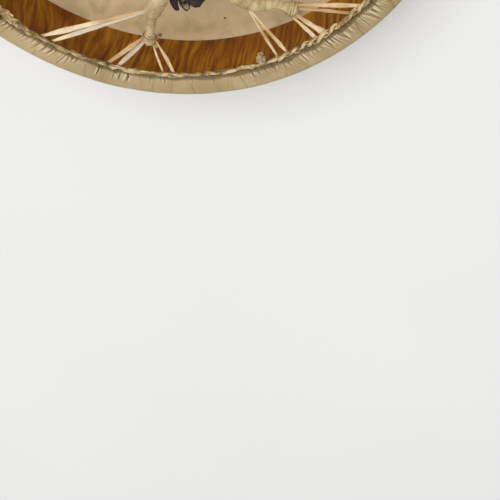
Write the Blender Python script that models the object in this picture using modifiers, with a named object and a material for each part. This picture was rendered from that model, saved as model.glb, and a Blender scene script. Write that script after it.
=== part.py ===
"""A framed hand drum, lying on its head with the laced back up.

One hide is stretched over a bent wooden hoop and folded over the hoop's back edge. Pairs of
rawhide laces run from that fold to a rawhide cross, the hand hold, whose middle is bound in
dark leather. The origin is on the floor at the drum's axis, and +Z is up, away from the head.
"""

import math
import random

import bmesh
import bpy
from mathutils import Matrix, Vector

# Driving dimensions, in metres and degrees
DRUM_DIAMETER = 0.400
DRUM_DEPTH = 0.0625
FIT_GAP = 0.0003

HIDE_THICKNESS = 0.0014
HEAD_CORNER = 0.0030
FOLD_CORNER = 0.0058
FOLD_WIDTH = 0.0172
GATHER_COUNT = 36
GATHER_HEIGHT = 0.0009

HOOP_WALL = 0.0093
HOOP_EDGE = 0.0022

EDGE_LACE_WIDTH = 0.0038
EDGE_LACE_HEIGHT = 0.0026
EDGE_LACE_SWAY = 0.0004
EDGE_LACE_PROUD = 0.0008
EDGE_LACE_WAVES = 28

LACE_THICKNESS = 0.0011
LACE_WIDTH = 0.0046
LACE_END_WIDTH = 0.0020
LACE_LEG_SPACING = 0.0085
LACE_INNER_SPACING = 0.0026
LACE_TWIST = 24.0
LACE_CROWN = 0.0038

HANDLE_DROP = 0.0045
ARM_RADIUS = 0.0068
HUB_SWELL = 0.0017
FORK_SWELL = 0.0010
FORK_LENGTH = 0.0056
ROOT_RADIUS = 0.0063
BEND_RADIUS = 0.0066
WAIST_RADIUS = 0.0038
TIP_RADIUS = 0.0058
TIP_END_RADIUS = 0.0053
TIP_LENGTH = 0.0068
WAIST_LENGTH = 0.0064
WRAP_RIDGE = 0.0005
WRAP_SPACING = 0.0080

GRIP_LEATHER = 0.0019
GRIP_SETBACK = 0.0194
GRIP_RIDGE = 0.0006
GRIP_TURN = 0.0075

TIE_CLEARANCE = 0.0012
TIE_FIT = 0.0006
TIE_WIDTH = 0.0060
TIE_THICKNESS = 0.0024
TAIL_THICKNESS = 0.0022
TAIL_WIDTH = 0.0120
TAIL_DROP = 0.0130
TAIL_SPACING = 0.0017
TAIL_DIP = 0.0020

KNOT_RADIUS = 0.0050
KNOT_FORM = (1.0, 0.9, 0.8)

# Steps round the drum, round a ball, round the tie, and sides of a ball from pole to pole
HIDE_STEPS = 108
HOOP_STEPS = 80
BALL_STEPS = 12
TIE_STEPS = 16
KNOT_STEPS = 8
BALL_RINGS = 6

# Points of one mesh that are nearer than this become one
MERGE_DISTANCE = 0.00001

# Places that follow from the dimensions
OUTER_RADIUS = DRUM_DIAMETER / 2
HOOP_OUTER = OUTER_RADIUS - HIDE_THICKNESS - FIT_GAP
HOOP_INNER = HOOP_OUTER - HOOP_WALL
FOLD_EDGE = OUTER_RADIUS - FOLD_WIDTH
EDGE_LACE_RADIUS = FOLD_EDGE - FIT_GAP - EDGE_LACE_SWAY - EDGE_LACE_WIDTH / 2
EDGE_LACE_Z = DRUM_DEPTH + EDGE_LACE_PROUD - EDGE_LACE_HEIGHT / 2
LACE_Z = EDGE_LACE_Z - EDGE_LACE_HEIGHT / 2 - FIT_GAP - LACE_THICKNESS / 2
HUB_RADIUS = ARM_RADIUS + HUB_SWELL
FORK_RADIUS = ARM_RADIUS + FORK_SWELL
MIDDLE = Vector((0.0, 0.0, DRUM_DEPTH - HANDLE_DROP))
UP = Vector((0.0, 0.0, 1.0))

# The hand hold's arms: the way each one points, and how far its parts stray from the first
SEED = 7
ARM_ANGLES = (-90.0, 0.0, 90.0, 180.0)
STRAY_DEGREES = 1.6
STRAY_SHARE = 0.025

# One arm's points, as (share of the drum's outer radius, degrees from the arm's direction)
FORK = (0.472, -5.0)
LEFT_BEND = (0.585, -16.4)
LEFT_KINK = (0.640, -18.7)
LEFT_TIP = (0.766, -19.5)
RIGHT_KINK = (0.660, 13.7)
RIGHT_BEND = (0.700, 20.2)
RIGHT_TIP = (0.760, 23.7)

# The order in which each branch runs through them
ARM_LINES = {
    "left": ("fork", "left_bend", "left_kink", "left_tip"),
    "right": ("fork", "right_kink", "right_bend", "right_tip"),
}

# How far each branch's root reaches back into its arm
LEFT_ROOT_REACH = 0.0075
RIGHT_ROOT_REACH = 0.0028

# Where one arm's lace pairs meet the rim, in degrees from the arm's direction
LEFT_PAIRS = {"kink": -45.4, "tip": (-28.4, -14.2)}
RIGHT_PAIRS = {"kink": 14.6, "tip": (25.2, 36.1)}

# How far the right tip's pairs of each arm stray round the rim, in degrees
RIGHT_TIP_STRAYS = (0.0, 0.0, 0.0, -7.0)

RIM_KNOT_DEGREES = -79.9

# The leather tie's tails, as (degrees, share of the outer radius, of the width and of the drop)
TAILS = (
    (-101.8, 0.666, 0.583, 0.923),
    (-97.6, 0.668, 0.683, 0.808),
    (-93.9, 0.660, 1.0, 1.0),
)

# Along a tail: the share of its way, the share of its width and its turn in degrees
TAIL_STATIONS = ((0.0, 0.5, 0.0), (0.45, 1.0, 6.0), (0.8, 1.0, 10.0), (1.0, 0.8, 14.0))

# Plain finishes, as linear red, green and blue, and the roughness
FINISHES = {
    "goat hide": ((0.46, 0.36, 0.22), 0.62),
    "stained wood": ((0.17, 0.06, 0.012), 0.45),
    "rawhide": ((0.56, 0.43, 0.25), 0.55),
    "dark leather": ((0.035, 0.014, 0.016), 0.6),
}


def clear_scene():
    """Remove every object that the scene starts with."""
    for thing in list(bpy.data.objects):
        bpy.data.objects.remove(thing, do_unlink=True)


def collection(name):
    """A collection of the scene."""
    made = bpy.data.collections.new(name)
    bpy.context.scene.collection.children.link(made)
    return made


def material(name):
    """The plain finish of one kind of sub-part."""
    colour, roughness = FINISHES[name]
    made = bpy.data.materials.new(name)
    made.use_nodes = True
    shader = made.node_tree.nodes["Principled BSDF"]
    shader.inputs["Base Color"].default_value = (*colour, 1.0)
    shader.inputs["Roughness"].default_value = roughness
    shader.inputs["Metallic"].default_value = 0.0
    return made


def place(name, mesh, finish, home):
    """Put a mesh in the scene as one named sub-part."""
    made = bpy.data.objects.new(name, mesh)
    mesh.materials.clear()
    mesh.materials.append(finish)
    home.objects.link(made)
    return made


def polar(radius, degrees, height=0.0):
    """The point at a radius and an angle round the drum's axis."""
    angle = math.radians(degrees)
    return Vector((radius * math.cos(angle), radius * math.sin(angle), height))


def arc(centre, radius, start, end, steps):
    """Points of an arc in the profile plane, from start to end degrees."""
    turns = [math.radians(start + (end - start) * i / steps) for i in range(steps + 1)]
    return [(centre[0] + radius * math.cos(a), centre[1] + radius * math.sin(a)) for a in turns]


def turned(name, profile, steps, closed):
    """A mesh turned about Z from a profile that runs down its outer side."""
    mesh = bpy.data.meshes.new(name)
    edges = [(i, i + 1) for i in range(len(profile) - 1)]
    if closed:
        edges.append((len(profile) - 1, 0))
    mesh.from_pydata([(r, 0.0, z) for r, z in profile], edges, [])
    guide = bpy.data.objects.new(name, mesh)
    bpy.context.scene.collection.objects.link(guide)
    screw = guide.modifiers.new("Turn", "SCREW")
    screw.steps = steps
    screw.render_steps = steps
    screw.use_merge_vertices = True
    screw.merge_threshold = MERGE_DISTANCE
    made = evaluated(guide)
    made.shade_smooth()
    return made


def evaluated(guide):
    """The mesh that an object's modifiers or curve settings make; the object goes."""
    bpy.context.view_layer.update()
    graph = bpy.context.evaluated_depsgraph_get()
    mesh = bpy.data.meshes.new_from_object(guide.evaluated_get(graph))
    bpy.data.objects.remove(guide, do_unlink=True)
    return mesh


def tube(name, points, radii):
    """A closed mesh round a line of points, with its own radius at each."""
    curve = bpy.data.curves.new(name, "CURVE")
    curve.dimensions = "3D"
    curve.bevel_depth = 1.0
    curve.bevel_resolution = 2
    curve.use_fill_caps = True
    spline = curve.splines.new("POLY")
    spline.points.add(len(points) - 1)
    for point, where, radius in zip(spline.points, points, radii):
        point.co = (*where, 1.0)
        point.radius = radius
    guide = bpy.data.objects.new(name, curve)
    bpy.context.scene.collection.objects.link(guide)
    mesh = evaluated(guide)
    weld(mesh)
    return mesh


def weld(mesh):
    """Join the loose caps of a tube to its sides."""
    work = bmesh.new()
    work.from_mesh(mesh)
    bmesh.ops.remove_doubles(work, verts=work.verts, dist=MERGE_DISTANCE)
    bmesh.ops.recalc_face_normals(work, faces=work.faces)
    work.to_mesh(mesh)
    work.free()


def joined(name, meshes, operation="UNION"):
    """One mesh from several, by Booleans on the first."""
    holder = bpy.data.objects.new(name, meshes[0])
    bpy.context.scene.collection.objects.link(holder)
    others = []
    for index, mesh in enumerate(meshes[1:]):
        other = bpy.data.objects.new(f"{name}_{index}", mesh)
        bpy.context.scene.collection.objects.link(other)
        step = holder.modifiers.new(f"Join {index}", "BOOLEAN")
        step.operation = operation
        step.solver = "EXACT"
        step.object = other
        others.append(other)
    mesh = evaluated(holder)
    for other in others:
        bpy.data.objects.remove(other, do_unlink=True)
    return mesh


def finished(name, work):
    """The mesh that a bmesh holds, with its faces pointing out; the bmesh goes."""
    bmesh.ops.recalc_face_normals(work, faces=work.faces)
    mesh = bpy.data.meshes.new(name)
    work.to_mesh(mesh)
    work.free()
    return mesh


def ball(name, radius, where, steps=BALL_STEPS):
    """A closed ball about a point."""
    work = bmesh.new()
    bmesh.ops.create_uvsphere(work, u_segments=steps, v_segments=BALL_RINGS, radius=radius)
    bmesh.ops.translate(work, verts=work.verts, vec=where)
    return finished(name, work)


def loft(name, rings, looped=False):
    """A closed mesh through rings of four corners; a looped one meets its own start."""
    work = bmesh.new()
    made = [[work.verts.new(corner) for corner in ring] for ring in rings]
    following = made[1:] + made[:1] if looped else made[1:]
    for first, second in zip(made, following):
        for i in range(4):
            j = (i + 1) % 4
            work.faces.new((first[i], first[j], second[j], second[i]))
    if not looped:
        work.faces.new(made[0])
        work.faces.new(made[-1])
    return finished(name, work)


def strap(name, points, widths, twists, thickness, ends=(None, None)):
    """A flat strap along a line, turned about it by its twists; ends may fix the end faces."""
    rings = []
    last = len(points) - 1
    for i, point in enumerate(points):
        along = (points[min(i + 1, last)] - points[max(i - 1, 0)]).normalized()
        across = along.cross(UP).normalized()
        if i == 0 and ends[0]:
            across = ends[0]
        if i == last and ends[1]:
            across = ends[1]
        turn = Matrix.Rotation(math.radians(twists[i]), 3, along)
        side = turn @ across * widths[i] / 2
        rise = turn @ across.cross(along).normalized() * thickness / 2
        rings.append((point - side - rise, point + side - rise, point + side + rise, point - side + rise))
    return loft(name, rings)


def make_hide(home, finish):
    """The hide: head, side and the fold over the back edge, with its gathers."""
    middle_of_fold = OUTER_RADIUS - (FOLD_WIDTH + FOLD_CORNER) / 2
    profile = [(FOLD_EDGE, DRUM_DEPTH - GATHER_HEIGHT / 2), (middle_of_fold, DRUM_DEPTH)]
    fold_centre = (OUTER_RADIUS - FOLD_CORNER, DRUM_DEPTH - FOLD_CORNER)
    profile += arc(fold_centre, FOLD_CORNER, 90.0, 0.0, 2)
    head_centre = (OUTER_RADIUS - HEAD_CORNER, HEAD_CORNER)
    profile += arc(head_centre, HEAD_CORNER, 0.0, -90.0, 2)
    profile.append((0.0, 0.0))
    mesh = turned("hide", profile, HIDE_STEPS, closed=False)
    gathered_from = OUTER_RADIUS - FOLD_CORNER
    for vertex in mesh.vertices:
        radius = math.hypot(vertex.co.x, vertex.co.y)
        if vertex.co.z < DRUM_DEPTH - GATHER_HEIGHT or radius > gathered_from:
            continue
        share = (gathered_from - radius) / (gathered_from - FOLD_EDGE)
        wave = (1.0 + math.cos(GATHER_COUNT * math.atan2(vertex.co.y, vertex.co.x))) / 2
        vertex.co.z += GATHER_HEIGHT * share * wave
    hide = place("hide", mesh, finish, home)
    shell = hide.modifiers.new("Thickness", "SOLIDIFY")
    shell.thickness = HIDE_THICKNESS
    shell.offset = -1.0
    shell.use_even_offset = True
    shell.use_quality_normals = True


def make_hoop(home, finish):
    """The bent wooden hoop inside the hide."""
    top = DRUM_DEPTH - HIDE_THICKNESS - FIT_GAP - GATHER_HEIGHT / 2
    bottom = HIDE_THICKNESS + FIT_GAP
    back_edge = max(FOLD_CORNER - HIDE_THICKNESS, HOOP_EDGE)
    inner_edge = HOOP_EDGE / 2
    profile = arc((HOOP_OUTER - back_edge, top - back_edge), back_edge, 90.0, 0.0, 2)
    profile += arc((HOOP_OUTER - HOOP_EDGE, bottom + HOOP_EDGE), HOOP_EDGE, 0.0, -90.0, 1)
    profile += arc((HOOP_INNER + inner_edge, bottom + inner_edge), inner_edge, 270.0, 180.0, 1)
    profile += arc((HOOP_INNER + inner_edge, top - inner_edge), inner_edge, 180.0, 90.0, 1)
    place("hoop", turned("hoop", profile, HOOP_STEPS, closed=True), finish, home)


def make_edge_lace(home, finish):
    """The rawhide lace that is whipped along the hide's free edge, as one swaying ring."""
    steps = EDGE_LACE_WAVES * 3
    up = UP * EDGE_LACE_HEIGHT / 2
    rings = []
    for i in range(steps):
        degrees = 360.0 * i / steps
        sway = EDGE_LACE_SWAY * math.cos(math.radians(EDGE_LACE_WAVES * degrees))
        across = polar(EDGE_LACE_WIDTH / 2, degrees)
        centre = polar(EDGE_LACE_RADIUS + sway, degrees, EDGE_LACE_Z)
        rings.append((centre - across, centre - up, centre + across, centre + up))
    place("edge_lace", loft("edge_lace", rings, looped=True), finish, home)


def arm_points(index, dice):
    """One arm's points in the drum's frame; the first arm strays by nothing."""
    named = {
        "fork": FORK,
        "left_bend": LEFT_BEND,
        "left_kink": LEFT_KINK,
        "left_tip": LEFT_TIP,
        "right_kink": RIGHT_KINK,
        "right_bend": RIGHT_BEND,
        "right_tip": RIGHT_TIP,
    }
    found = {}
    for name, (share, degrees) in named.items():
        turn = dice.uniform(-STRAY_DEGREES, STRAY_DEGREES) if index else 0.0
        stretch = 1.0 + dice.uniform(-STRAY_SHARE, STRAY_SHARE) if index else 1.0
        angle = ARM_ANGLES[index] + degrees + turn
        found[name] = polar(OUTER_RADIUS * share * stretch, angle, MIDDLE.z)
    return found


def ridged(points, radii):
    """A line and its radii, cut up so that the radius rises and falls at each wrapped turn."""
    line = [points[0]]
    sizes = [radii[0]]
    for i in range(len(points) - 1):
        length = (points[i + 1] - points[i]).length
        count = max(2 * round(length / WRAP_SPACING / 2), 2)
        for j in range(1, count + 1):
            share = j / count
            hollow = WRAP_RIDGE if j % 2 else 0.0
            line.append(points[i].lerp(points[i + 1], share))
            sizes.append(radii[i] + (radii[i + 1] - radii[i]) * share - hollow)
    return line, sizes


def branch(name, points, radii):
    """A bound branch of the hand hold that swells to the tie at its tip."""
    tip = points[-1]
    along = (tip - points[-2]).normalized()
    waist = tip - along * (TIP_LENGTH + WAIST_LENGTH)
    line, sizes = ridged(points[:-1] + [waist], radii + [WAIST_RADIUS])
    line += [tip - along * TIP_LENGTH, tip]
    sizes += [TIP_RADIUS, TIP_END_RADIUS]
    return tube(name, line, sizes)


def make_cross(home, finish, arms):
    """The rawhide cross: four arms from the middle, each with two branches, bound as one."""
    pieces = [ball("hub", HUB_RADIUS, MIDDLE)]
    for arm in arms:
        fork = arm["fork"]
        back = (MIDDLE - fork).normalized()
        line = [MIDDLE - back * HUB_RADIUS / 2, fork + back * FORK_LENGTH, fork]
        pieces.append(tube("arm", line, [ARM_RADIUS, ARM_RADIUS, FORK_RADIUS]))
        left = [fork + back * LEFT_ROOT_REACH] + [arm[point] for point in ARM_LINES["left"][1:]]
        right = [fork + back * RIGHT_ROOT_REACH] + [arm[point] for point in ARM_LINES["right"][1:]]
        pieces.append(branch("left", left, [ROOT_RADIUS, BEND_RADIUS, BEND_RADIUS]))
        pieces.append(branch("right", right, [ARM_RADIUS, BEND_RADIUS, WAIST_RADIUS]))
    place("rawhide_cross", joined("rawhide_cross", pieces), finish, home)


def grip_reach(arm):
    """How far the leather grip runs from the middle, which leaves room for the tie at the fork."""
    return (arm["fork"] - MIDDLE).length - GRIP_SETBACK


def make_grip(home, finish, arms):
    """The dark leather bound round the middle of the cross, hollow where the rawhide runs."""
    reach = grip_reach(arms[0])
    bore = ARM_RADIUS + FIT_GAP
    ball_bore = HUB_RADIUS + FIT_GAP
    outer = [ball("outside", ball_bore + GRIP_LEATHER, MIDDLE)]
    inner = [ball("inside", ball_bore, MIDDLE)]
    count = 2 * round(reach / GRIP_TURN / 2)
    ridges = [GRIP_RIDGE if i % 2 else 0.0 for i in range(count + 1)]
    sizes = [bore + GRIP_LEATHER + ridge for ridge in ridges]
    for arm in arms:
        along = (arm["fork"] - MIDDLE).normalized()
        start = MIDDLE + along * HUB_RADIUS / 4
        end = MIDDLE + along * reach
        beyond = end + along * GRIP_LEATHER * 2
        outer.append(tube("sleeve", [start.lerp(end, i / count) for i in range(count + 1)], sizes))
        inner.append(tube("bore", [start, beyond], [bore, bore]))
    body = joined("body", outer)
    hollow = joined("hollow", inner)
    place("leather_grip", joined("leather_grip", [body, hollow], "DIFFERENCE"), finish, home)


def make_tie(home, finish, arm):
    """The leather thong tied round one arm between its grip and its fork, with three tails."""
    along = (arm["fork"] - MIDDLE).normalized()
    centre = MIDDLE + along * (grip_reach(arm) + TIE_CLEARANCE + TIE_WIDTH / 2)
    inside = ARM_RADIUS + TIE_FIT
    outside = inside + TIE_THICKNESS
    half = TIE_WIDTH / 2
    edge = TIE_THICKNESS / 3
    profile = [(inside, half), (outside - edge, half), (outside, half - edge)]
    profile += [(outside, edge - half), (outside - edge, -half), (inside, -half)]
    band = turned("band", profile, TIE_STEPS, closed=True)
    turn = along.to_track_quat("Z", "Y").to_matrix().to_4x4()
    band.transform(Matrix.Translation(centre) @ turn)
    pieces = [band]
    side = UP.cross(along)
    for index, (degrees, reach, breadth, fall) in enumerate(TAILS):
        start = centre - UP * outside + side * (index - 1) * TAIL_SPACING
        end = polar(OUTER_RADIUS * reach, degrees, MIDDLE.z - TAIL_DROP * fall)
        points = [start.lerp(end, share) for share, _, _ in TAIL_STATIONS]
        points[1].z = start.z - TAIL_DIP
        points[2].z = (points[1].z + end.z) / 2
        widths = [TAIL_WIDTH * breadth * share for _, share, _ in TAIL_STATIONS]
        twists = [twist for _, _, twist in TAIL_STATIONS]
        pieces.append(strap("tail", points, widths, twists, TAIL_THICKNESS))
    place("leather_tie", joined("leather_tie", pieces), finish, home)


def make_pair(name, home, finish, inner, lean, rim_degrees):
    """One pair of laces: a single strip from the hand hold to the rim, round and back."""
    side = polar(1.0, rim_degrees + 90.0)
    out = polar(1.0, rim_degrees)
    half = side * LACE_LEG_SPACING / 2
    crown_half = side * LACE_CROWN / 2
    rim = out * (FOLD_EDGE - FIT_GAP) + UP * LACE_Z
    crown = out * (HOOP_INNER - FIT_GAP - LACE_END_WIDTH) + UP * LACE_Z
    points = [inner[0], inner[0].lerp(rim - half, 0.5), rim - half, crown - crown_half]
    points += [crown + crown_half, rim + half, inner[1].lerp(rim + half, 0.5), inner[1]]
    widths = [LACE_END_WIDTH, LACE_WIDTH, LACE_END_WIDTH, LACE_END_WIDTH]
    twists = [0.0, LACE_TWIST, 0.0, 0.0, 0.0, 0.0, -LACE_TWIST, 0.0]
    mesh = strap(name, points, widths + widths[::-1], twists, LACE_THICKNESS, (lean, -lean))
    place(name, mesh, finish, home)


def make_laces(home, finish, arms):
    """All the lace pairs: one at each branch's kink and two at its tip."""
    number = 0
    rise = UP * (LACE_Z - MIDDLE.z) / 2
    for arm, direction, stray in zip(arms, ARM_ANGLES, RIGHT_TIP_STRAYS):
        for side, pairs, turn in (("left", LEFT_PAIRS, 0.0), ("right", RIGHT_PAIRS, stray)):
            line = [arm[point] for point in ARM_LINES[side]]
            kink = ARM_LINES[side].index(f"{side}_kink")
            along = (line[-1] - line[-2]).normalized()
            across = UP.cross(along)
            start = line[-1] + along * FIT_GAP + rise
            for step, degrees in enumerate(pairs["tip"]):
                ends = [start + across * (2 * step + leg - 1.5) * LACE_INNER_SPACING for leg in (0, 1)]
                number += 1
                name = f"lace_pair_{number:02d}"
                make_pair(name, home, finish, ends, across, direction + degrees + turn)
            degrees = direction + pairs["kink"]
            along = (line[kink + 1] - line[kink - 1]).normalized()
            across = UP.cross(along)
            towards_rim = across.dot(polar(OUTER_RADIUS, degrees) - line[kink]) > 0
            outward = across if towards_rim else -across
            start = line[kink] + outward * (BEND_RADIUS + FIT_GAP) + rise
            ends = [start - along * LACE_INNER_SPACING / 2, start + along * LACE_INNER_SPACING / 2]
            ends.sort(key=lambda end: end.dot(polar(1.0, degrees + 90.0)))
            number += 1
            name = f"lace_pair_{number:02d}"
            make_pair(name, home, finish, ends, (ends[1] - ends[0]).normalized(), degrees)


def make_rim_knot(home, finish):
    """The rolled rawhide button by which the lace is tied off, at the rim's inner side."""
    reach = EDGE_LACE_RADIUS - EDGE_LACE_SWAY - EDGE_LACE_WIDTH / 2 - FIT_GAP - KNOT_RADIUS
    mesh = ball("rim_knot", KNOT_RADIUS, Vector((0.0, 0.0, 0.0)), KNOT_STEPS)
    turn = Matrix.Rotation(math.radians(RIM_KNOT_DEGREES), 4, "Z")
    where = Matrix.Translation(polar(reach, RIM_KNOT_DEGREES, EDGE_LACE_Z))
    mesh.transform(where @ turn @ Matrix.Diagonal((*KNOT_FORM, 1.0)))
    place("rim_knot", mesh, finish, home)


def main():
    clear_scene()
    home = collection("shaman drum")
    dice = random.Random(SEED)
    arms = [arm_points(index, dice) for index in range(len(ARM_ANGLES))]
    rawhide = material("rawhide")
    leather = material("dark leather")
    make_hide(home, material("goat hide"))
    make_hoop(home, material("stained wood"))
    make_edge_lace(home, rawhide)
    make_cross(home, rawhide, arms)
    make_grip(home, leather, arms)
    make_tie(home, leather, arms[0])
    make_laces(home, rawhide, arms)
    make_rim_knot(home, rawhide)


main()
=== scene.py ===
"""The looks of a framed hand drum that lies on its head with its laced back up.

The packed model is the fixed frame. Each piece here stands for one of its nodes: the goat hide
with its gathered fold, the bent wooden hoop, the lacing along the hide's edge, the flat rawhide
laces, the bound hand hold with its leather grip and tie, and the rolled button at the rim.
Lengths are in metres, +Z is up and the drum's axis stands on the origin.
"""

import math
import random

import bpy
import numpy as np
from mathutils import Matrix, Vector


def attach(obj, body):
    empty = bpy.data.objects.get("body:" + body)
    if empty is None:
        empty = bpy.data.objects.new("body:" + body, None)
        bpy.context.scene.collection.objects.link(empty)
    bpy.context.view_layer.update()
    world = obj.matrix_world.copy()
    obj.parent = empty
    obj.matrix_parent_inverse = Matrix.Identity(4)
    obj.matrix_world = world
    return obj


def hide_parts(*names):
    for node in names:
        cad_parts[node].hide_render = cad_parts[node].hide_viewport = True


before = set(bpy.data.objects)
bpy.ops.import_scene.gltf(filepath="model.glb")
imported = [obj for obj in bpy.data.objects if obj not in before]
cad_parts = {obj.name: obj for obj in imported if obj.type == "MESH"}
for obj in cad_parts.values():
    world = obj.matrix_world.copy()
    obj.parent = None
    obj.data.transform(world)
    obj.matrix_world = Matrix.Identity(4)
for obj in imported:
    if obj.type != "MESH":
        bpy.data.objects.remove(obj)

bl_info = {
    "name": "Laced Frame Drum",
    "version": (1, 0, 0),
    "blender": (4, 5, 0),
    "location": "3D View > Sidebar > Drum",
    "description": "Hide, wood, rawhide and leather for a laced frame drum",
    "category": "Add Mesh",
}

# The drum's sizes, as its solids have them
OUTER_RADIUS = 0.200
DRUM_DEPTH = 0.0625
FIT_GAP = 0.0003
HIDE_THICKNESS = 0.0014
HEAD_CORNER = 0.0030
FOLD_CORNER = 0.0058
FOLD_WIDTH = 0.0172
HOOP_WALL = 0.0093
HOOP_EDGE = 0.0022
HOOP_OUTER = OUTER_RADIUS - HIDE_THICKNESS - FIT_GAP
HOOP_INNER = HOOP_OUTER - HOOP_WALL
FOLD_EDGE = OUTER_RADIUS - FOLD_WIDTH
EDGE_LACE_RADIUS = 0.1802
EDGE_LACE_Z = DRUM_DEPTH - 0.0005
LACE_Z = DRUM_DEPTH - 0.00265
LACE_LEG_SPACING = 0.0085
LACE_INNER_SPACING = 0.0026
LACE_CROWN = 0.0038
MIDDLE = np.array((0.0, 0.0, DRUM_DEPTH - 0.0045))
UP = np.array((0.0, 0.0, 1.0))

# The hand hold, as its solids have it
HUB_RADIUS = 0.0085
ARM_RADIUS = 0.0068
FORK_RADIUS = 0.0078
FORK_LENGTH = 0.0056
ROOT_RADIUS = 0.0063
BEND_RADIUS = 0.0066
WAIST_RADIUS = 0.0038
TIP_RADIUS = 0.0058
TIP_LENGTH = 0.0068
WAIST_LENGTH = 0.0064
GRIP_LEATHER = 0.0019
GRIP_REACH = 0.0750
TIE_CLEARANCE = 0.0012
TIE_WIDTH = 0.0060
TIE_OUTSIDE = ARM_RADIUS + 0.0006 + 0.0024
TAIL_SPACING = 0.0017
TAIL_DIP = 0.0020
LACE_SWAY = 0.0004
LACE_HALF_WIDTH = 0.0019
KNOT_RADIUS = 0.0050
KNOT_DEGREES = -79.9

# The gathered fold's relief; its places and windows are in degrees round the rim
CORNER_POWER = 0.75
CORNER_SWELL = 0.0004
EDGE_DIP = 0.0009
EDGE_DIP_REACH = 0.004
FOLD_MIDDLE = 0.189
FAINT_CREASES = 90
CREASE_LIMIT = 0.0011
DEEP_CREASE = 0.001
# Where the painted shadow line beside the lacing is widest, and the crease depth that gets full painted shade
WIDEST_SHADOW_LINE = -84.0
FULL_SHADE_DEPTH = 0.0007
CREASE_WINDOW = 3.2
FAINT_WINDOW = 4.0
FAINT_WIDTH = 0.0006
RELIEF_ROWS = 18
RELIEF_END = 0.0146
FOLD_ROWS_END = 0.0164

# How finely the meshes are divided, and the small unevenness of the skin and the hoop
HIDE_SIDES = 3240
COARSENESS = 4
SIDE_DENTS = 0.00035
HOOP_SIDES = 540
HOOP_STEP = 0.006
HOOP_UNEVEN = 0.00022
LACE_POINTS = 100
TAIL_SIDES = 16
TAIL_POINTS = 60
BRANCH_POINTS = 120

# The strips that the looks are made of; a strip's section is rounder with a higher squareness
SQUARENESS = 0.45
LACING_RADIUS = EDGE_LACE_RADIUS - 0.0003
LACING_THICKNESS = 0.0008
UNSEEN_FLAPS = 60
LACE_THICKNESS = 0.0009
THONG_THICKNESS = 0.0020
ROLL_THICKNESS = 0.0013
GRIP_THICKNESS = 0.0016

# The first number of each piece's random draws; the arms' is the solids' own
SEED = 7
SEEDS = {
    "creases": 31,
    "hide": 53,
    "hoop": 11,
    "lacing": 29,
    "pairs": 19,
    "cross": 17,
    "grip": 23,
    "tie": 37,
    "button": 41,
}

# The arms' directions, and how far the guessed ones stray from the one that the view shows
ARM_ANGLES = (-90.0, 0.0, 90.0, 180.0)
STRAY_DEGREES = 1.6
STRAY_SHARE = 0.025

# One arm's points, as (share of the drum's outer radius, degrees from the arm's direction)
ARM_FORM = {
    "fork": (0.472, -5.0),
    "left_bend": (0.585, -16.4),
    "left_kink": (0.640, -18.7),
    "left_tip": (0.766, -19.5),
    "right_kink": (0.660, 13.7),
    "right_bend": (0.700, 20.2),
    "right_tip": (0.760, 23.7),
}
ARM_LINES = {
    "left": ("fork", "left_bend", "left_kink", "left_tip"),
    "right": ("fork", "right_kink", "right_bend", "right_tip"),
}
ROOT_REACH = {"left": 0.0075, "right": 0.0028}

# Where the lace pairs of a branch meet the rim, in degrees from the arm's direction: the one from
# its kink, and the ones from its tip
PAIRS = {"left": (-45.4, (-28.4, -14.2)), "right": (14.6, (25.2, 36.1))}
RIGHT_TIP_STRAYS = (0.0, 0.0, 0.0, -7.0)

# Groups of creases in the fold that the view shows, as (middle and half spread in degrees,
# how many, length, depth, slant); the rest of the rim gets its own at random
CREASE_GROUPS = (
    (-146.5, 2.0, 3, 0.0082, 0.0008, -0.45),
    (-143.0, 1.4, 4, 0.0086, 0.0010, -0.50),
    (-139.0, 1.2, 3, 0.0105, 0.0010, -0.45),
    (-136.2, 0.9, 3, 0.0125, 0.0010, -0.40),
    (-132.6, 1.4, 5, 0.0118, 0.0012, -0.45),
    (-128.6, 1.2, 5, 0.0125, 0.0013, -0.35),
    (-125.2, 1.2, 3, 0.0140, 0.0009, -0.40),
    (-121.0, 1.0, 4, 0.0128, 0.0013, -0.30),
    (-115.2, 2.2, 10, 0.0108, 0.0013, -0.15),
    (-107.0, 2.4, 4, 0.0090, 0.0008, -0.10),
    (-99.0, 1.6, 3, 0.0080, 0.0007, -0.20),
    (-92.5, 1.4, 3, 0.0080, 0.0007, 0.10),
    (-88.0, 1.6, 3, 0.0110, 0.0008, 0.55),
    (-82.5, 1.8, 5, 0.0080, 0.0011, 0.20),
    (-77.0, 3.0, 9, 0.0090, 0.0013, 0.25),
    (-70.0, 3.2, 11, 0.0110, 0.0012, 0.30),
    (-63.0, 3.4, 12, 0.0125, 0.0013, 0.30),
    (-56.0, 3.6, 12, 0.0140, 0.0012, 0.28),
    (-48.0, 4.0, 12, 0.0130, 0.0011, 0.20),
)
CREASES_SEEN = (-150.0, -42.0)

# The windings of a branch's tip: (depth in the tip, width, turns, pitch, most lean, start)
TIP_WINDINGS = ((0.0010, 0.0017, 3.2, 0.0016, 5.0, 250.0), (0.0018, 0.0030, 2.2, 0.0022, 6.0, 70.0))

# The thong's tails: (degrees and radius share of the end, width, drop, turn, sideways bow, width
# share of the end, and whether the flesh side (1) or the grain (0) is up)
TAILS = (
    (-101.3, 0.667, 0.0064, 0.0120, 14.0, -0.0036, 0.60, 0),
    (-97.7, 0.662, 0.0074, 0.0105, -34.0, -0.0040, 0.66, 1),
    (-94.9, 0.660, 0.0185, 0.0130, 10.0, -0.0010, 0.34, 0),
)

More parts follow.
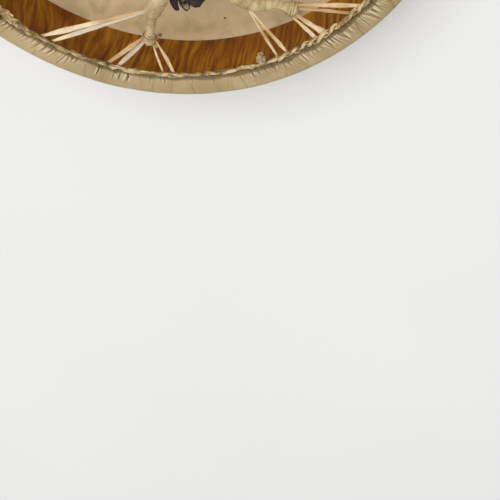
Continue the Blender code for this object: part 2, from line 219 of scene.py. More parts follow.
# The laces that the view shows, by the pair's number: for each leg where it is widest, how wide,
# how far it is turned in degrees, and whether its white flesh side (1) or its grain (0) is up
SEEN_LEGS = {
    1: ((0.35, 0.0038, 24.0, 0), (0.50, 0.0044, -14.0, 1)),
    2: ((0.60, 0.0021, 14.0, 0), (0.55, 0.0028, -20.0, 0)),
    3: ((0.80, 0.0044, 12.0, 0), (0.74, 0.0038, 34.0, 1)),
    4: ((0.75, 0.0033, -18.0, 0), (0.80, 0.0054, 10.0, 0)),
    5: ((0.50, 0.0036, 24.0, 0), (0.60, 0.0036, -40.0, 0)),
    6: ((0.66, 0.0028, 20.0, 0), (0.80, 0.0031, -16.0, 0)),
}

# Dark spots on the head's inner side that the view shows, as (place, radius)
SEEN_SPOTS = (((-0.0604, -0.1763, HIDE_THICKNESS), 0.0026), ((-0.0037, -0.1708, HIDE_THICKNESS), 0.0014))

# Along the hoop the grain's extra slope falls from the third value to nothing between these
# two places, in metres from +X
GRAIN_TURN = (0.740, 0.800, 0.32)

# Each rawhide's light, main and dark tone, its patches' tone and its edges' tone, as names of
# settings, and how many patches it has to the metre
RAWHIDES = {
    # The lacing's dark edges are painted shade for the gaps between stitches
    "rawhide lace, whipped and dried": (
        "lacing_light", "lacing", "lacing_dark", "green", "lacing_edge_shade", 110.0,
    ),
    # The strand under the stitches is painted dark all over, as the shade between them
    "rawhide lace, dirty underside": (
        "lacing_dark", "lacing_edge_shade", "lacing_edge_shade", "lacing_dark", "lacing_edge_shade", 110.0,
    ),
    "rawhide strip, cut and dried": ("light", "base", "dark", "pink", "pink", 24.0),
    "rawhide strip, flesh side up": ("flesh", "flesh", "light", "flesh", "dark", 40.0),
    # The hand hold's edge tone is painted shade in the grooves between turns
    "rawhide strip, wound wet and dried": ("hold_light", "hold", "hold_dark", "green", "groove", 62.0),
    # The button's edges get painted shade, in the gaps between its rolls
    "rawhide strip, rolled into a button": (
        "dark", "button", "button_dark_and_gap_shade", "button_dark_and_gap_shade", "button_dark_and_gap_shade", 260.0,
    ),
}

# The stage; the camera's turns are in degrees about X, Y and Z, and its lens is in millimetres
FLOOR_HALF = 12.0
FLOOR_Z = -0.0002
KEY_SIZE = 4.4
KEY_PLACE = (-0.9, 3.7, 4.9)
KEY_AIM = (0.0, -0.1, 0.0)
CAMERA_PLACE = (0.14638, 0.20906, 0.62745)
CAMERA_TURNS = (-47.192, 3.603, -13.172)
CAMERA_LENS = 64.8

# Where the fold's edge is crumpled into small lumps, as (middle and half spread in degrees)
RUFFLES = ((-114.4, 1.6), (-77.0, 2.2), (-54.0, 2.6), (12.0, 3.0), (97.0, 2.5), (151.0, 2.0))

# Where the lacing along the edge is a twisted chain, in degrees; elsewhere it lies flat
CHAIN_SPANS = ((-77.0, -44.0), (18.0, 74.0), (128.0, 170.0))

# Ragged bits of rawhide that stand out of the lacing: (degrees, radius, length, width)
SEEN_FLAPS = (
    (-149.4, 0.1752, 0.0120, 0.0036),
    (-148.2, 0.1778, 0.0125, 0.0042),
    (-148.8, 0.1806, 0.0120, 0.0040),
    (-147.6, 0.1832, 0.0110, 0.0044),
    (-146.9, 0.1858, 0.0080, 0.0036),
    (-146.2, 0.1756, 0.0125, 0.0034),
    (-145.4, 0.1784, 0.0120, 0.0042),
    (-144.8, 0.1812, 0.0100, 0.0038),
    (-143.4, 0.1774, 0.0120, 0.0036),
    (-142.4, 0.1800, 0.0120, 0.0044),
    (-140.8, 0.1786, 0.0105, 0.0038),
    (-139.4, 0.1802, 0.0110, 0.0034),
    (-137.4, 0.1789, 0.0110, 0.0042),
    (-134.2, 0.1796, 0.0070, 0.0024),
    (-129.8, 0.1792, 0.0070, 0.0042),
    (-126.9, 0.1777, 0.0110, 0.0040),
    (-118.0, 0.1803, 0.0080, 0.0028),
    (-103.6, 0.1806, 0.0060, 0.0030),
    (-96.4, 0.1796, 0.0135, 0.0046),
    (-85.6, 0.1794, 0.0120, 0.0034),
    (-77.9, 0.1792, 0.0095, 0.0036),
    (-58.6, 0.1803, 0.0150, 0.0030),
)

# Thin loose curls on top of the lacing, in degrees
SEEN_CURLS = (-143.0, -139.2, -133.4, -117.0, -113.2, -110.6, -107.5, -103.2, -90.5, -83.5)


# Numbers and lines


def linear(code):
    """The linear colour of an sRGB hex code."""
    parts = [int(code[i:i + 2], 16) / 255 for i in (1, 3, 5)]
    lit = [p / 12.92 if p <= 0.04045 else ((p + 0.055) / 1.055) ** 2.4 for p in parts]
    return (*lit, 1.0)


def unit(rows):
    """Rows of vectors, each made one long."""
    return rows / np.linalg.norm(rows, axis=-1, keepdims=True)


def polar(radius, degrees, height=0.0):
    """Points at a radius and an angle round the drum's axis."""
    angle = np.radians(degrees)
    radius, angle, height = np.broadcast_arrays(radius, angle, height)
    return np.stack((radius * np.cos(angle), radius * np.sin(angle), height), axis=-1)


def spline(rows, count, looped=False):
    """A smooth curve of count rows through the given rows."""
    rows = np.asarray(rows, float)
    if rows.ndim == 1:
        return spline(rows[:, None], count, looped)[:, 0]
    number = len(rows)
    spans = number if looped else number - 1
    place = np.linspace(0.0, spans, count, endpoint=not looped)
    start = np.minimum(place.astype(int), spans - 1)
    part = (place - start)[:, None]
    index = start[:, None] + np.arange(-1, 3)
    index = index % number if looped else np.clip(index, 0, number - 1)
    a, b, c, d = (rows[index[:, i]] for i in range(4))
    curve = 2 * b + (c - a) * part + (2 * a - 5 * b + 4 * c - d) * part**2
    return (curve + (3 * b - a - 3 * c + d) * part**3) / 2


def even(line, count):
    """The same line with count points at even distances."""
    steps = np.linalg.norm(np.diff(line, axis=0), axis=1)
    along = np.concatenate(([0.0], np.cumsum(steps)))
    wanted = np.linspace(0.0, along[-1], count)
    return np.stack([np.interp(wanted, along, line[:, i]) for i in range(line.shape[1])], axis=1)


def reach(line):
    """The length of a line."""
    return float(np.linalg.norm(np.diff(line, axis=0), axis=1).sum())


def wander(dice, knots, count, amount, looped=False):
    """A smooth random curve between -amount and amount."""
    values = [dice.uniform(-amount, amount) for _ in range(knots)]
    return spline(values, count, looped)


# Meshes


def volume(points, faces):
    """Six times what a grid's faces enclose; it is negative when they look inwards."""
    flat = points.reshape(-1, 3)
    a, b, c, d = (flat[faces[:, i]] for i in range(4))
    middles = flat[faces].mean(axis=1) - flat.mean(axis=0)
    return np.einsum("ij,ij->", middles, np.cross(c - a, d - b))


class Shape:
    """The points, marks, faces, UVs and material numbers of one piece."""

    def __init__(self):
        self.points = []
        self.marks = []
        self.faces = []
        self.places = []
        self.finishes = []
        self.count = 0

    def add_points(self, points, marks=0.0):
        """Add points, each with a mark from -1 to 1 for its material; give the first's number."""
        first = self.count
        self.points.append(points.reshape(-1, 3))
        self.marks.append(np.broadcast_to(marks, points.shape[:-1]).reshape(-1))
        self.count += len(self.points[-1])
        return first

    def add_faces(self, faces, places, finish):
        """Add faces, with a place on the UV map, in metres, for each corner."""
        self.faces += faces
        self.places += places
        self.finishes += [finish] * len(faces) if isinstance(finish, int) else finish

    def grid(self, points, looped=False, finish=0, marks=0.0):
        """Add a grid of rings; each ring is closed, and the ends are closed by fans."""
        rings, sides = points.shape[:2]
        first = self.add_points(points, marks)
        closed = np.concatenate((points, points[:, :1]), axis=1)
        around = np.linalg.norm(np.diff(closed, axis=1), axis=2).mean(axis=0)
        across = np.concatenate(([0.0], np.cumsum(around)))
        line = points.mean(axis=1)
        line = np.concatenate((line, line[:1]))
        along = np.concatenate(([0.0], np.cumsum(np.linalg.norm(np.diff(line, axis=0), axis=1))))
        i, j = np.meshgrid(np.arange(rings if looped else rings - 1), np.arange(sides), indexing="ij")
        after, beside = (i + 1) % rings, (j + 1) % sides
        near, far = i * sides, after * sides
        corners = np.stack((near + j, near + beside, far + beside, far + j), -1)
        u = np.stack((along[i], along[i], along[i + 1], along[i + 1]), -1)
        v = np.stack((across[j], across[j + 1], across[j + 1], across[j]), -1)
        faces = corners.reshape(-1, 4)
        way = 1 if volume(points, faces) > 0 else -1
        finishes = finish if isinstance(finish, int) else list(np.tile(finish, len(faces) // sides))
        places = np.stack((u, v), -1).reshape(-1, 4, 2)[:, ::way]
        self.add_faces((faces[:, ::way] + first).tolist(), places.tolist(), finishes)
        if not looped:
            self.fan(points[0], first, along[0], way)
            self.fan(points[-1], first + (rings - 1) * sides, along[rings - 1], -way)

    def fan(self, ring, first, u, way):
        """Close a ring with triangles to its middle."""
        sides = len(ring)
        middle = self.add_points(ring.mean(axis=0)[None])
        faces = [(middle, first + (j + 1) % sides, first + j)[::way] for j in range(sides)]
        radius = float(np.linalg.norm(ring - ring.mean(axis=0), axis=1).mean())
        places = [((u, 0.0), (u + radius, 0.0), (u + radius, radius)) for _ in faces]
        self.add_faces([tuple(face) for face in faces], places, 0)

    def build(self, name, materials, node, slot):
        """Make the piece and let it stand for its node; the slot is not used."""
        mesh = bpy.data.meshes.new(name)
        mesh.from_pydata(np.concatenate(self.points).tolist(), [], self.faces)
        uv = mesh.uv_layers.new(name="Length and width")
        flat = [value for face in self.places for corner in face for value in corner]
        uv.data.foreach_set("uv", flat)
        mark = mesh.attributes.new("mark", "FLOAT", "POINT")
        mark.data.foreach_set("value", np.concatenate(self.marks).astype(np.float32))
        for made in materials:
            mesh.materials.append(made)
        mesh.polygons.foreach_set("material_index", self.finishes)
        mesh.shade_smooth()
        mesh.validate()
        piece = bpy.data.objects.new(name, mesh)
        bpy.context.scene.collection.objects.link(piece)
        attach(piece, "root")
        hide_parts(node)
        return piece


def oval(sides, squareness):
    """A closed outline two wide and two high; a lower squareness has fuller corners."""
    turn = np.linspace(0.0, 2 * math.pi, sides, endpoint=False)
    return tuple(np.sign(f) * np.abs(f) ** squareness for f in (np.cos(turn), np.sin(turn)))


def strip(shape, line, faces, widths, thickness, twists=0.0, cup=0.0, sides=12, looped=False, finish=0):
    """Add a flat strip along a line; its face looks along faces, turned by its twists in degrees.

    Its cut edges are marked for its material.
    """
    count = len(line)
    if looped:
        along = unit(np.roll(line, -1, axis=0) - np.roll(line, 1, axis=0))
    else:
        along = unit(np.gradient(line, axis=0))
    faces = np.broadcast_to(faces, line.shape)
    face = unit(faces - (faces * along).sum(axis=1, keepdims=True) * along)
    side = np.cross(along, face)
    turn = np.radians(np.broadcast_to(twists, count))[:, None]
    face, side = face * np.cos(turn) + side * np.sin(turn), side * np.cos(turn) - face * np.sin(turn)
    x, y = oval(sides, SQUARENESS)
    half = np.broadcast_to(widths, count)[:, None] / 2
    thick = np.broadcast_to(thickness, count)[:, None] / 2
    rise = y * thick + np.broadcast_to(cup, count)[:, None] * half * (x**2 - 0.5)
    across = side[:, None] * (x * half)[..., None]
    edge = np.broadcast_to(np.abs(x) ** 8, across.shape[:2])
    shape.grid(line[:, None] + across + face[:, None] * rise[..., None], looped, finish, edge)


def wound(shape, line, radii, pitch, ridge, dice, step=0.0003, sides=24, rough=0.6, openness=1.5):
    """Add a core with a strip wound round it; each turn has its own height and lean.

    The grooves between turns are marked for the material, which paints shade in them, deeper where the turns
    stand open.
    """
    count = max(int(reach(line) / step), 8)
    stations = np.linspace(0.0, 1.0, len(line))
    line = even(line, count)
    inner = np.interp(np.linspace(0.0, 1.0, count), stations, radii)
    length = reach(line)
    rate = 1.0 / (pitch * (1.0 + wander(dice, 2 + int(length / pitch / 2), count, 0.22)))
    turns = np.cumsum(rate) * length / count
    turn = np.linspace(0.0, 2 * math.pi, sides, endpoint=False)
    phase = turns[:, None] - turn / (2 * math.pi)
    whole = np.floor(phase)
    part = phase - whole
    strand = whole + turn / (2 * math.pi) + 2.0
    knots = int(strand.max() * 3) + 4

    def drawn(draw):
        """A random value for each third of a turn, with even changes between them."""
        return np.interp(strand, np.arange(knots) / 3, [draw() for _ in range(knots)])

    height = drawn(lambda: dice.uniform(-1.0, 1.0))
    lean = drawn(lambda: dice.uniform(-1.0, 1.0))
    # Most turns lie tight together, and a few stand open
    gap = drawn(lambda: dice.random() ** openness)
    groove = np.abs(2 * part - 1) ** 5
    relief = 1.0 - (0.25 + 0.75 * gap) * groove + rough * height + rough * lean * (part - 0.5)
    radius = inner[:, None] + ridge * relief
    along = unit(np.gradient(line, axis=0))
    side = unit(np.cross(along, UP))
    rise = np.cross(side, along)
    spokes = side[:, None] * np.cos(turn)[None, :, None] + rise[:, None] * np.sin(turn)[None, :, None]
    # The grooves get painted shade, deeper where the turns stand open
    shape.grid(line[:, None] + spokes * radius[..., None], marks=groove * (0.12 + 0.88 * gap))


def coil(shape, centre, axis, radius, width, thickness, turns, pitch, lean, start, dice):
    """Add a strip that winds round an axis in free turns, tilted by its lean in degrees."""
    axis = unit(np.asarray(axis, float))
    side = unit(np.cross(axis, UP))
    rise = np.cross(side, axis)
    count = int(26 * turns)
    turn = np.radians(start) + np.linspace(0.0, 2 * math.pi * turns, count)
    spokes = side * np.cos(turn)[:, None] + rise * np.sin(turn)[:, None]
    slide = np.linspace(-0.5, 0.5, count) * pitch * turns
    slide = slide + math.tan(math.radians(lean)) * radius * np.cos(turn - math.radians(start))
    away = radius + wander(dice, 6, count, thickness * 0.3)
    line = np.asarray(centre) + spokes * away[:, None] + axis * slide[:, None]
    widths = width * (1.0 + wander(dice, 5, count, 0.18))
    strip(shape, line, spokes, widths, thickness, wander(dice, 5, count, 12.0), sides=10)


# Materials


def node(tree, kind, inputs=None, stops=None, **settings):
    """Add one node with its settings, colour stops and links, and give it back."""
    made = tree.nodes.new(kind)
    for name, value in settings.items():
        setattr(made, name, value)
    for name, value in (inputs or {}).items():
        if isinstance(value, bpy.types.NodeSocket):
            tree.links.new(value, made.inputs[name])
        else:
            made.inputs[name].default_value = value
    for index, (place, colour) in enumerate(stops or ()):
        elements = made.color_ramp.elements
        element = elements[index] if index < len(elements) else elements.new(place)
        element.position = place
        element.color = colour
    return made


def new_material(name, **sockets):
    """A material with its shader's plain values set; gives it, its tree and the shader."""
    made = bpy.data.materials.new(name)
    made.use_nodes = True
    shader = made.node_tree.nodes["Principled BSDF"]
    for socket, value in sockets.items():
        shader.inputs[socket.replace("_", " ")].default_value = value
    return made, made.node_tree, shader


def surface(tree, shader, colour, roughness, normal):
    """Give the shader its colour, its roughness and its relief."""
    tree.links.new(colour, shader.inputs["Base Color"])
    tree.links.new(roughness, shader.inputs["Roughness"])
    tree.links.new(normal, shader.inputs["Normal"])


def goat_hide(settings):
    """Scraped and dried goat hide: cloudy beige, greener where it is folded, with faint pores."""
    made, tree, shader = new_material(
        "goat hide, scraped and dried",
        IOR=1.5,
        Subsurface_Weight=0.05,
        Subsurface_Radius=(0.004, 0.0024, 0.0014),
        Subsurface_Scale=0.6,
    )
    place = node(tree, "ShaderNodeTexCoord").outputs["Object"]
    height = node(tree, "ShaderNodeSeparateXYZ", {0: place}).outputs["Z"]
    # Clouds 40 mm and 9 mm across, from uneven scraping
    clouds = {"Vector": place, "Scale": 25.0, "Detail": 4.0, "Roughness": 0.55}
    wide = node(tree, "ShaderNodeTexNoise", clouds).outputs[0]
    clouds = {"Vector": place, "Scale": 110.0, "Detail": 3.0, "Distortion": 0.6}
    small = node(tree, "ShaderNodeTexNoise", clouds).outputs[0]
    # The stretched head is greyer and pinker than the thick fold, which is yellowish
    stops = ((0.32, settings.head_dark), (0.62, settings.head))
    head = node(tree, "ShaderNodeValToRGB", {0: wide}, stops).outputs[0]
    stops = ((0.30, settings.fold_dark), (0.50, settings.fold), (0.68, settings.fold_light))
    fold = node(tree, "ShaderNodeValToRGB", {0: wide}, stops).outputs[0]
    folded = node(tree, "ShaderNodeMapRange", {0: height, 1: 0.015, 2: 0.045}).outputs[0]
    colour = node(tree, "ShaderNodeMix", {0: folded, 6: head, 7: fold}, data_type="RGBA").outputs[2]
    cloud = node(tree, "ShaderNodeMapRange", {0: small, 1: 0.3, 2: 0.7, 3: 0.93, 4: 1.05}).outputs[0]
    tones = {0: 1.0, 6: colour, 7: cloud}
    colour = node(tree, "ShaderNodeMix", tones, data_type="RGBA", blend_type="MULTIPLY").outputs[2]
    # Blotches of another tone, 20 mm across, where fat was left in the skin
    blotches = {"Vector": place, "Scale": 48.0, "Detail": 3.0, "Distortion": 0.8}
    fat = node(tree, "ShaderNodeTexNoise", blotches).outputs[0]
    left = node(tree, "ShaderNodeMapRange", {0: fat, 1: 0.50, 2: 0.68, 3: 0.0, 4: 0.5}).outputs[0]
    tones = {0: left, 6: colour, 7: settings.fat}
    colour = node(tree, "ShaderNodeMix", tones, data_type="RGBA").outputs[2]
    tones = {0: follicles(tree, place), 6: colour, 7: settings.spots}
    colour = node(tree, "ShaderNodeMix", tones, data_type="RGBA").outputs[2]
    # Painted shade darkens the creases, the cut edge and a line beside the lacing, and painted highlight
    # lightens the ridges between the creases
    mark = node(tree, "ShaderNodeAttribute", attribute_name="mark").outputs["Fac"]
    shadowed = node(tree, "ShaderNodeMapRange", {0: mark, 1: 0.0, 2: 1.0, 3: 0.0, 4: 0.72}).outputs[0]
    tones = {0: shadowed, 6: colour, 7: settings.crease}
    colour = node(tree, "ShaderNodeMix", tones, data_type="RGBA").outputs[2]
    # Painted highlight: the ridges between the creases are made pale
    painted_ridge_highlight = node(tree, "ShaderNodeMapRange", {0: mark, 1: -0.1, 2: -0.6, 3: 0.0, 4: 0.75}).outputs[0]
    tones = {0: painted_ridge_highlight, 6: colour, 7: settings.ridge}
    colour = node(tree, "ShaderNodeMix", tones, data_type="RGBA").outputs[2]
    rough = node(tree, "ShaderNodeMapRange", {0: small, 1: 0.3, 2: 0.7, 3: 0.48, 4: 0.66}).outputs[0]
    # Hair pores are 0.2 mm across, too fine to show, and are drawn 1 mm across
    pores = node(tree, "ShaderNodeTexNoise", {"Vector": place, "Scale": 1000.0, "Detail": 2.0}).outputs[0]
    fine = node(tree, "ShaderNodeBump", {"Height": pores, "Strength": 0.25, "Distance": 0.0002}).outputs[0]
    relief = {"Height": small, "Strength": 0.35, "Distance": 0.0009, "Normal": fine}
    surface(tree, shader, colour, rough, node(tree, "ShaderNodeBump", relief).outputs[0])
    return made


def follicles(tree, place):
    """How dark a follicle makes each place of the hide."""
    # Spots 2 to 4 mm across, one or two to the square decimetre
    cells = node(tree, "ShaderNodeTexVoronoi", {"Vector": place, "Scale": 34.0, "Randomness": 1.0})
    near = {0: cells.outputs["Distance"], 1: 0.03, 2: 0.065, 3: 1.0, 4: 0.0}
    spot = node(tree, "ShaderNodeMapRange", near).outputs[0]
    chosen = node(tree, "ShaderNodeSeparateColor", {0: cells.outputs["Color"]}).outputs[0]
    few = node(tree, "ShaderNodeMath", {0: chosen, 1: 0.86}, operation="GREATER_THAN").outputs[0]
    dark = node(tree, "ShaderNodeMath", {0: spot, 1: few}, operation="MULTIPLY").outputs[0]
    dark = node(tree, "ShaderNodeMath", {0: dark, 1: 0.55}, operation="MULTIPLY").outputs[0]
    # Clear ones on the head, near the hoop
    for middle, radius in SEEN_SPOTS:
        ends = {0: place, 1: middle}
        away = node(tree, "ShaderNodeVectorMath", ends, operation="DISTANCE").outputs["Value"]
        clear = node(tree, "ShaderNodeMapRange", {0: away, 1: radius * 0.4, 2: radius, 3: 0.9, 4: 0.0})
        dark = node(tree, "ShaderNodeMath", {0: dark, 1: clear.outputs[0]}, operation="MAXIMUM").outputs[0]
    return dark


def stained_wood(settings):
    """Bent plywood of striped hardwood, stained and varnished: streaks run across the hoop."""
    made, tree, shader = new_material(
        "striped hardwood, stained and varnished",
        IOR=1.5,
        Coat_Weight=0.04,
        Coat_Roughness=0.30,
        Specular_IOR_Level=0.16,
    )
    place = node(tree, "ShaderNodeUVMap", uv_map="Length and width").outputs[0]
    # Streaks 4 mm wide and as long as the hoop is deep; their lean changes once round the hoop
    split = node(tree, "ShaderNodeSeparateXYZ", {0: place})
    drift = node(
        tree,
        "ShaderNodeMapRange",
        {0: split.outputs[0], 1: GRAIN_TURN[0], 2: GRAIN_TURN[1], 3: GRAIN_TURN[2], 4: 0.0},
        interpolation_type="SMOOTHSTEP",
    )
    slopes = {0: drift.outputs[0], 1: math.tan(math.radians(settings.grain_lean))}
    lean = node(tree, "ShaderNodeMath", slopes, operation="ADD").outputs[0]
    slide = node(tree, "ShaderNodeMath", {0: split.outputs[1], 1: lean}, operation="MULTIPLY").outputs[0]
    slid = node(tree, "ShaderNodeCombineXYZ", {0: slide}).outputs[0]
    leaned = node(tree, "ShaderNodeVectorMath", {0: place, 1: slid}, operation="ADD").outputs[0]
    wave = node(tree, "ShaderNodeTexNoise", {"Vector": place, "Scale": 28.0, "Detail": 1.5}).outputs["Color"]
    sway = {0: wave, 1: (0.007, 0.0, 0.0)}
    shift = node(tree, "ShaderNodeVectorMath", sway, operation="MULTIPLY").outputs[0]
    bent = node(tree, "ShaderNodeVectorMath", {0: leaned, 1: shift}, operation="ADD").outputs[0]
    drawn = node(tree, "ShaderNodeMapping", {"Vector": bent, "Scale": (1.0, 0.085, 1.0)}).outputs[0]
    grain = {"Vector": drawn, "Scale": 1.0 / settings.streak_width, "Detail": 6.0, "Roughness": 0.60}
    streaks = node(tree, "ShaderNodeTexNoise", grain).outputs[0]
    stops = ((0.33, settings.dark), (0.45, settings.base), (0.55, settings.golden), (0.68, settings.light))
    colour = node(tree, "ShaderNodeValToRGB", {0: streaks}, stops).outputs[0]
    # Reddish patches 40 mm across, where more stain soaked in
    patch = node(tree, "ShaderNodeTexNoise", {"Vector": place, "Scale": 26.0, "Detail": 1.0}).outputs[0]
    soaked = node(tree, "ShaderNodeMapRange", {0: patch, 1: 0.45, 2: 0.75, 3: 0.0, 4: 0.55}).outputs[0]
    tones = {0: soaked, 6: colour, 7: settings.red}
    colour = node(tree, "ShaderNodeMix", tones, data_type="RGBA").outputs[2]
    # Vessel lines 0.3 mm wide, drawn 0.8 mm wide
    thin = node(tree, "ShaderNodeMapping", {"Vector": leaned, "Scale": (1.0, 0.04, 1.0)}).outputs[0]
    lines = node(tree, "ShaderNodeTexNoise", {"Vector": thin, "Scale": 1300.0, "Detail": 2.0}).outputs[0]
    rough = node(tree, "ShaderNodeMapRange", {0: lines, 1: 0.3, 2: 0.7, 3: 0.34, 4: 0.55}).outputs[0]
    pressed = node(tree, "ShaderNodeBump", {"Height": lines, "Strength": 0.3, "Distance": 0.0002}).outputs[0]
    surface(tree, shader, colour, rough, pressed)
    return made


def dried_rawhide(name, settings):
    """Cut and dried rawhide: horny cream strips, translucent, with fibres along their length."""
    *tones, patches = RAWHIDES[name]
    light, base, dark, stain, edge = (getattr(settings, tone) for tone in tones)
    made, tree, shader = new_material(
        name,
        IOR=1.5,
        Subsurface_Weight=0.06,
        Subsurface_Radius=(0.0030, 0.0020, 0.0010),
        Subsurface_Scale=0.5,
    )
    place = node(tree, "ShaderNodeTexCoord").outputs["Object"]
    # One strip differs from the next in tone
    strips = {"Vector": place, "Scale": patches, "Detail": 3.0, "Roughness": 0.6}
    tone = node(tree, "ShaderNodeTexNoise", strips).outputs[0]
    stops = ((0.38, dark), (0.48, base), (0.58, light))
    colour = node(tree, "ShaderNodeValToRGB", {0: tone}, stops).outputs[0]
    spread = {"Vector": place, "Scale": 95.0, "Detail": 2.0, "W": 3.0}
    patch = node(tree, "ShaderNodeTexNoise", spread, noise_dimensions="4D").outputs[0]
    soaked = node(tree, "ShaderNodeMapRange", {0: patch, 1: 0.52, 2: 0.68, 3: 0.0, 4: 0.75}).outputs[0]
    colour = node(tree, "ShaderNodeMix", {0: soaked, 6: colour, 7: stain}, data_type="RGBA").outputs[2]
    # Fibres 0.1 mm wide, drawn 1 mm wide, run along the strip
    length = node(tree, "ShaderNodeUVMap", uv_map="Length and width").outputs[0]
    drawn = node(tree, "ShaderNodeMapping", {"Vector": length, "Scale": (0.08, 1.0, 1.0)}).outputs[0]
    threads = node(tree, "ShaderNodeTexNoise", {"Vector": drawn, "Scale": 900.0, "Detail": 3.0}).outputs[0]
    shade = node(tree, "ShaderNodeMapRange", {0: threads, 1: 0.3, 2: 0.7, 3: 0.86, 4: 1.06}).outputs[0]
    shaded = {0: 1.0, 6: colour, 7: shade}
    colour = node(tree, "ShaderNodeMix", shaded, data_type="RGBA", blend_type="MULTIPLY").outputs[2]
    # Cut edges have a colour of their own, pink on the laces; the dark edges on the lacing at the rim and on
    # the button, and the grooves between turns, are painted shade
    mark = node(tree, "ShaderNodeAttribute", attribute_name="mark").outputs["Fac"]
    share = node(tree, "ShaderNodeMath", {0: mark, 1: 0.85}, operation="MULTIPLY").outputs[0]
    colour = node(tree, "ShaderNodeMix", {0: share, 6: colour, 7: edge}, data_type="RGBA").outputs[2]
    rough = node(tree, "ShaderNodeMapRange", {0: tone, 1: 0.3, 2: 0.7, 3: 0.38, 4: 0.6}).outputs[0]
    raised = node(tree, "ShaderNodeBump", {"Height": threads, "Strength": 0.5, "Distance": 0.0004}).outputs[0]
    surface(tree, shader, colour, rough, raised)
    return made


def dyed_leather(name, light, dark, roughness, patches=120.0):
    """Drum-dyed leather: dark grain with fine creases, a soft sheen and worn high spots."""
    made, tree, shader = new_material(name, IOR=1.5, Specular_IOR_Level=0.45)
    place = node(tree, "ShaderNodeTexCoord").outputs["Object"]
    worn = {"Vector": place, "Scale": patches, "Detail": 4.0, "Roughness": 0.65}
    wear = node(tree, "ShaderNodeTexNoise", worn).outputs[0]
    colour = node(tree, "ShaderNodeValToRGB", {0: wear}, ((0.42, dark), (0.62, light))).outputs[0]
    sheen = {0: wear, 1: 0.3, 2: 0.7, 3: roughness, 4: roughness + 0.16}
    rough = node(tree, "ShaderNodeMapRange", sheen).outputs[0]
    # Grain cells are 0.5 mm across, drawn 1 mm across
    grain = {"Vector": place, "Scale": 950.0, "Randomness": 1.0}
    cells = node(tree, "ShaderNodeTexVoronoi", grain).outputs["Distance"]
    fine = node(tree, "ShaderNodeBump", {"Height": cells, "Strength": 0.35, "Distance": 0.0003}).outputs[0]
    relief = {"Height": wear, "Strength": 0.4, "Distance": 0.0010, "Normal": fine}
    surface(tree, shader, colour, rough, node(tree, "ShaderNodeBump", relief).outputs[0])
    return made


# The hand hold's points


def arm_points(index, dice):
    """One arm's points; the first arm strays by nothing."""
    found = {}
    for name, (share, degrees) in ARM_FORM.items():
        turn = dice.uniform(-STRAY_DEGREES, STRAY_DEGREES) if index else 0.0
        stretch = 1.0 + dice.uniform(-STRAY_SHARE, STRAY_SHARE) if index else 1.0
        angle = ARM_ANGLES[index] + degrees + turn
        found[name] = polar(OUTER_RADIUS * share * stretch, angle, MIDDLE[2])
    return found


def all_arms():
    """The points of all four arms, as the solids have them."""
    dice = random.Random(SEED)
    return [arm_points(index, dice) for index in range(len(ARM_ANGLES))]


# Pieces


def fold_profile(s):
    """Radius, height and outward direction of the fold's top at distances from its edge."""
    flat = OUTER_RADIUS - FOLD_CORNER - FOLD_EDGE
    turn = np.clip((s - flat) / FOLD_CORNER, 0.0, math.pi / 2)
    # The skin bends more sharply at 45 degrees than a round corner does, and swells a little
    swell = CORNER_SWELL * np.sin(turn) ** 2 * np.clip(np.cos(turn) * 4.0, 0.0, 1.0)
    radius = FOLD_EDGE + np.minimum(s, flat) + FOLD_CORNER * np.sin(turn) ** CORNER_POWER + swell
    dip = EDGE_DIP * np.clip(1.0 - s / EDGE_DIP_REACH, 0.0, 1.0) ** 1.5
    height = DRUM_DEPTH - FOLD_CORNER + FOLD_CORNER * np.maximum(np.cos(turn), 0.0) ** CORNER_POWER - dip
    return radius, height, np.sin(turn), np.cos(turn)


def crease_list(dice):
    """Every crease: its degrees, slant, length, depth and half width."""
    groups = list(CREASE_GROUPS)
    at = CREASES_SEEN[1] + 3.0
    while at < CREASES_SEEN[0] + 360.0:
        spread = dice.uniform(1.0, 4.5)
        count = int(spread * dice.uniform(1.3, 2.6)) + 1
        length = dice.uniform(0.006, 0.013)
        depth = dice.uniform(0.0007, 0.0014)
        slant = dice.uniform(-0.4, 0.4)
        groups.append((at, spread, count, length, depth, slant))
        at += spread + dice.uniform(1.5, 6.5)
    for middle, spread, count, length, depth, slant in groups:
        for i in range(count):
            even_place = middle + spread * (2 * (i + 0.5) / count - 1)
            yield (
                even_place + dice.uniform(-0.9, 0.9) * spread / count,
                slant + dice.uniform(-0.20, 0.20),
                length * dice.uniform(0.35, 1.15),
                depth * dice.uniform(0.30, 1.15),
                dice.uniform(0.00028, 0.00085),
            )


def away_from(degrees, place):
    """The angles from a place on the rim, between -180 and 180 degrees."""
    return (degrees - place + 180.0) % 360.0 - 180.0


def press_creases(relief, degrees, column, depth_share, dice):
    """Press sharp creases into the fold near its edge, and long faint ones right across it."""
    scale = math.radians(1.0) * FOLD_MIDDLE
    for place, slant, length, depth, width in crease_list(dice):
        near = np.nonzero(np.abs(away_from(degrees, place)) < CREASE_WINDOW)[0]
        x = np.abs(away_from(degrees[near], place)[None, :] * scale - slant * column)
        fade = np.clip(1.0 - (column / length) ** 2, 0.0, 1.0)
        # A ridge stands beside each groove
        groove = np.exp(-((x / width) ** 1.5)) - 0.50 * np.exp(-(((x - 2.2 * width) / (1.3 * width)) ** 2))
        relief[:, near] -= depth * depth_share * groove * fade
    for _ in range(FAINT_CREASES):
        place, slant = dice.uniform(0.0, 360.0), dice.uniform(-0.5, 0.5)
        near = np.nonzero(np.abs(away_from(degrees, place)) < FAINT_WINDOW)[0]
        x = np.abs(away_from(degrees[near], place)[None, :] * scale - slant * (column - 0.006))
        relief[:, near] -= dice.uniform(0.0001, 0.0003) * np.exp(-((x / FAINT_WIDTH) ** 1.5))


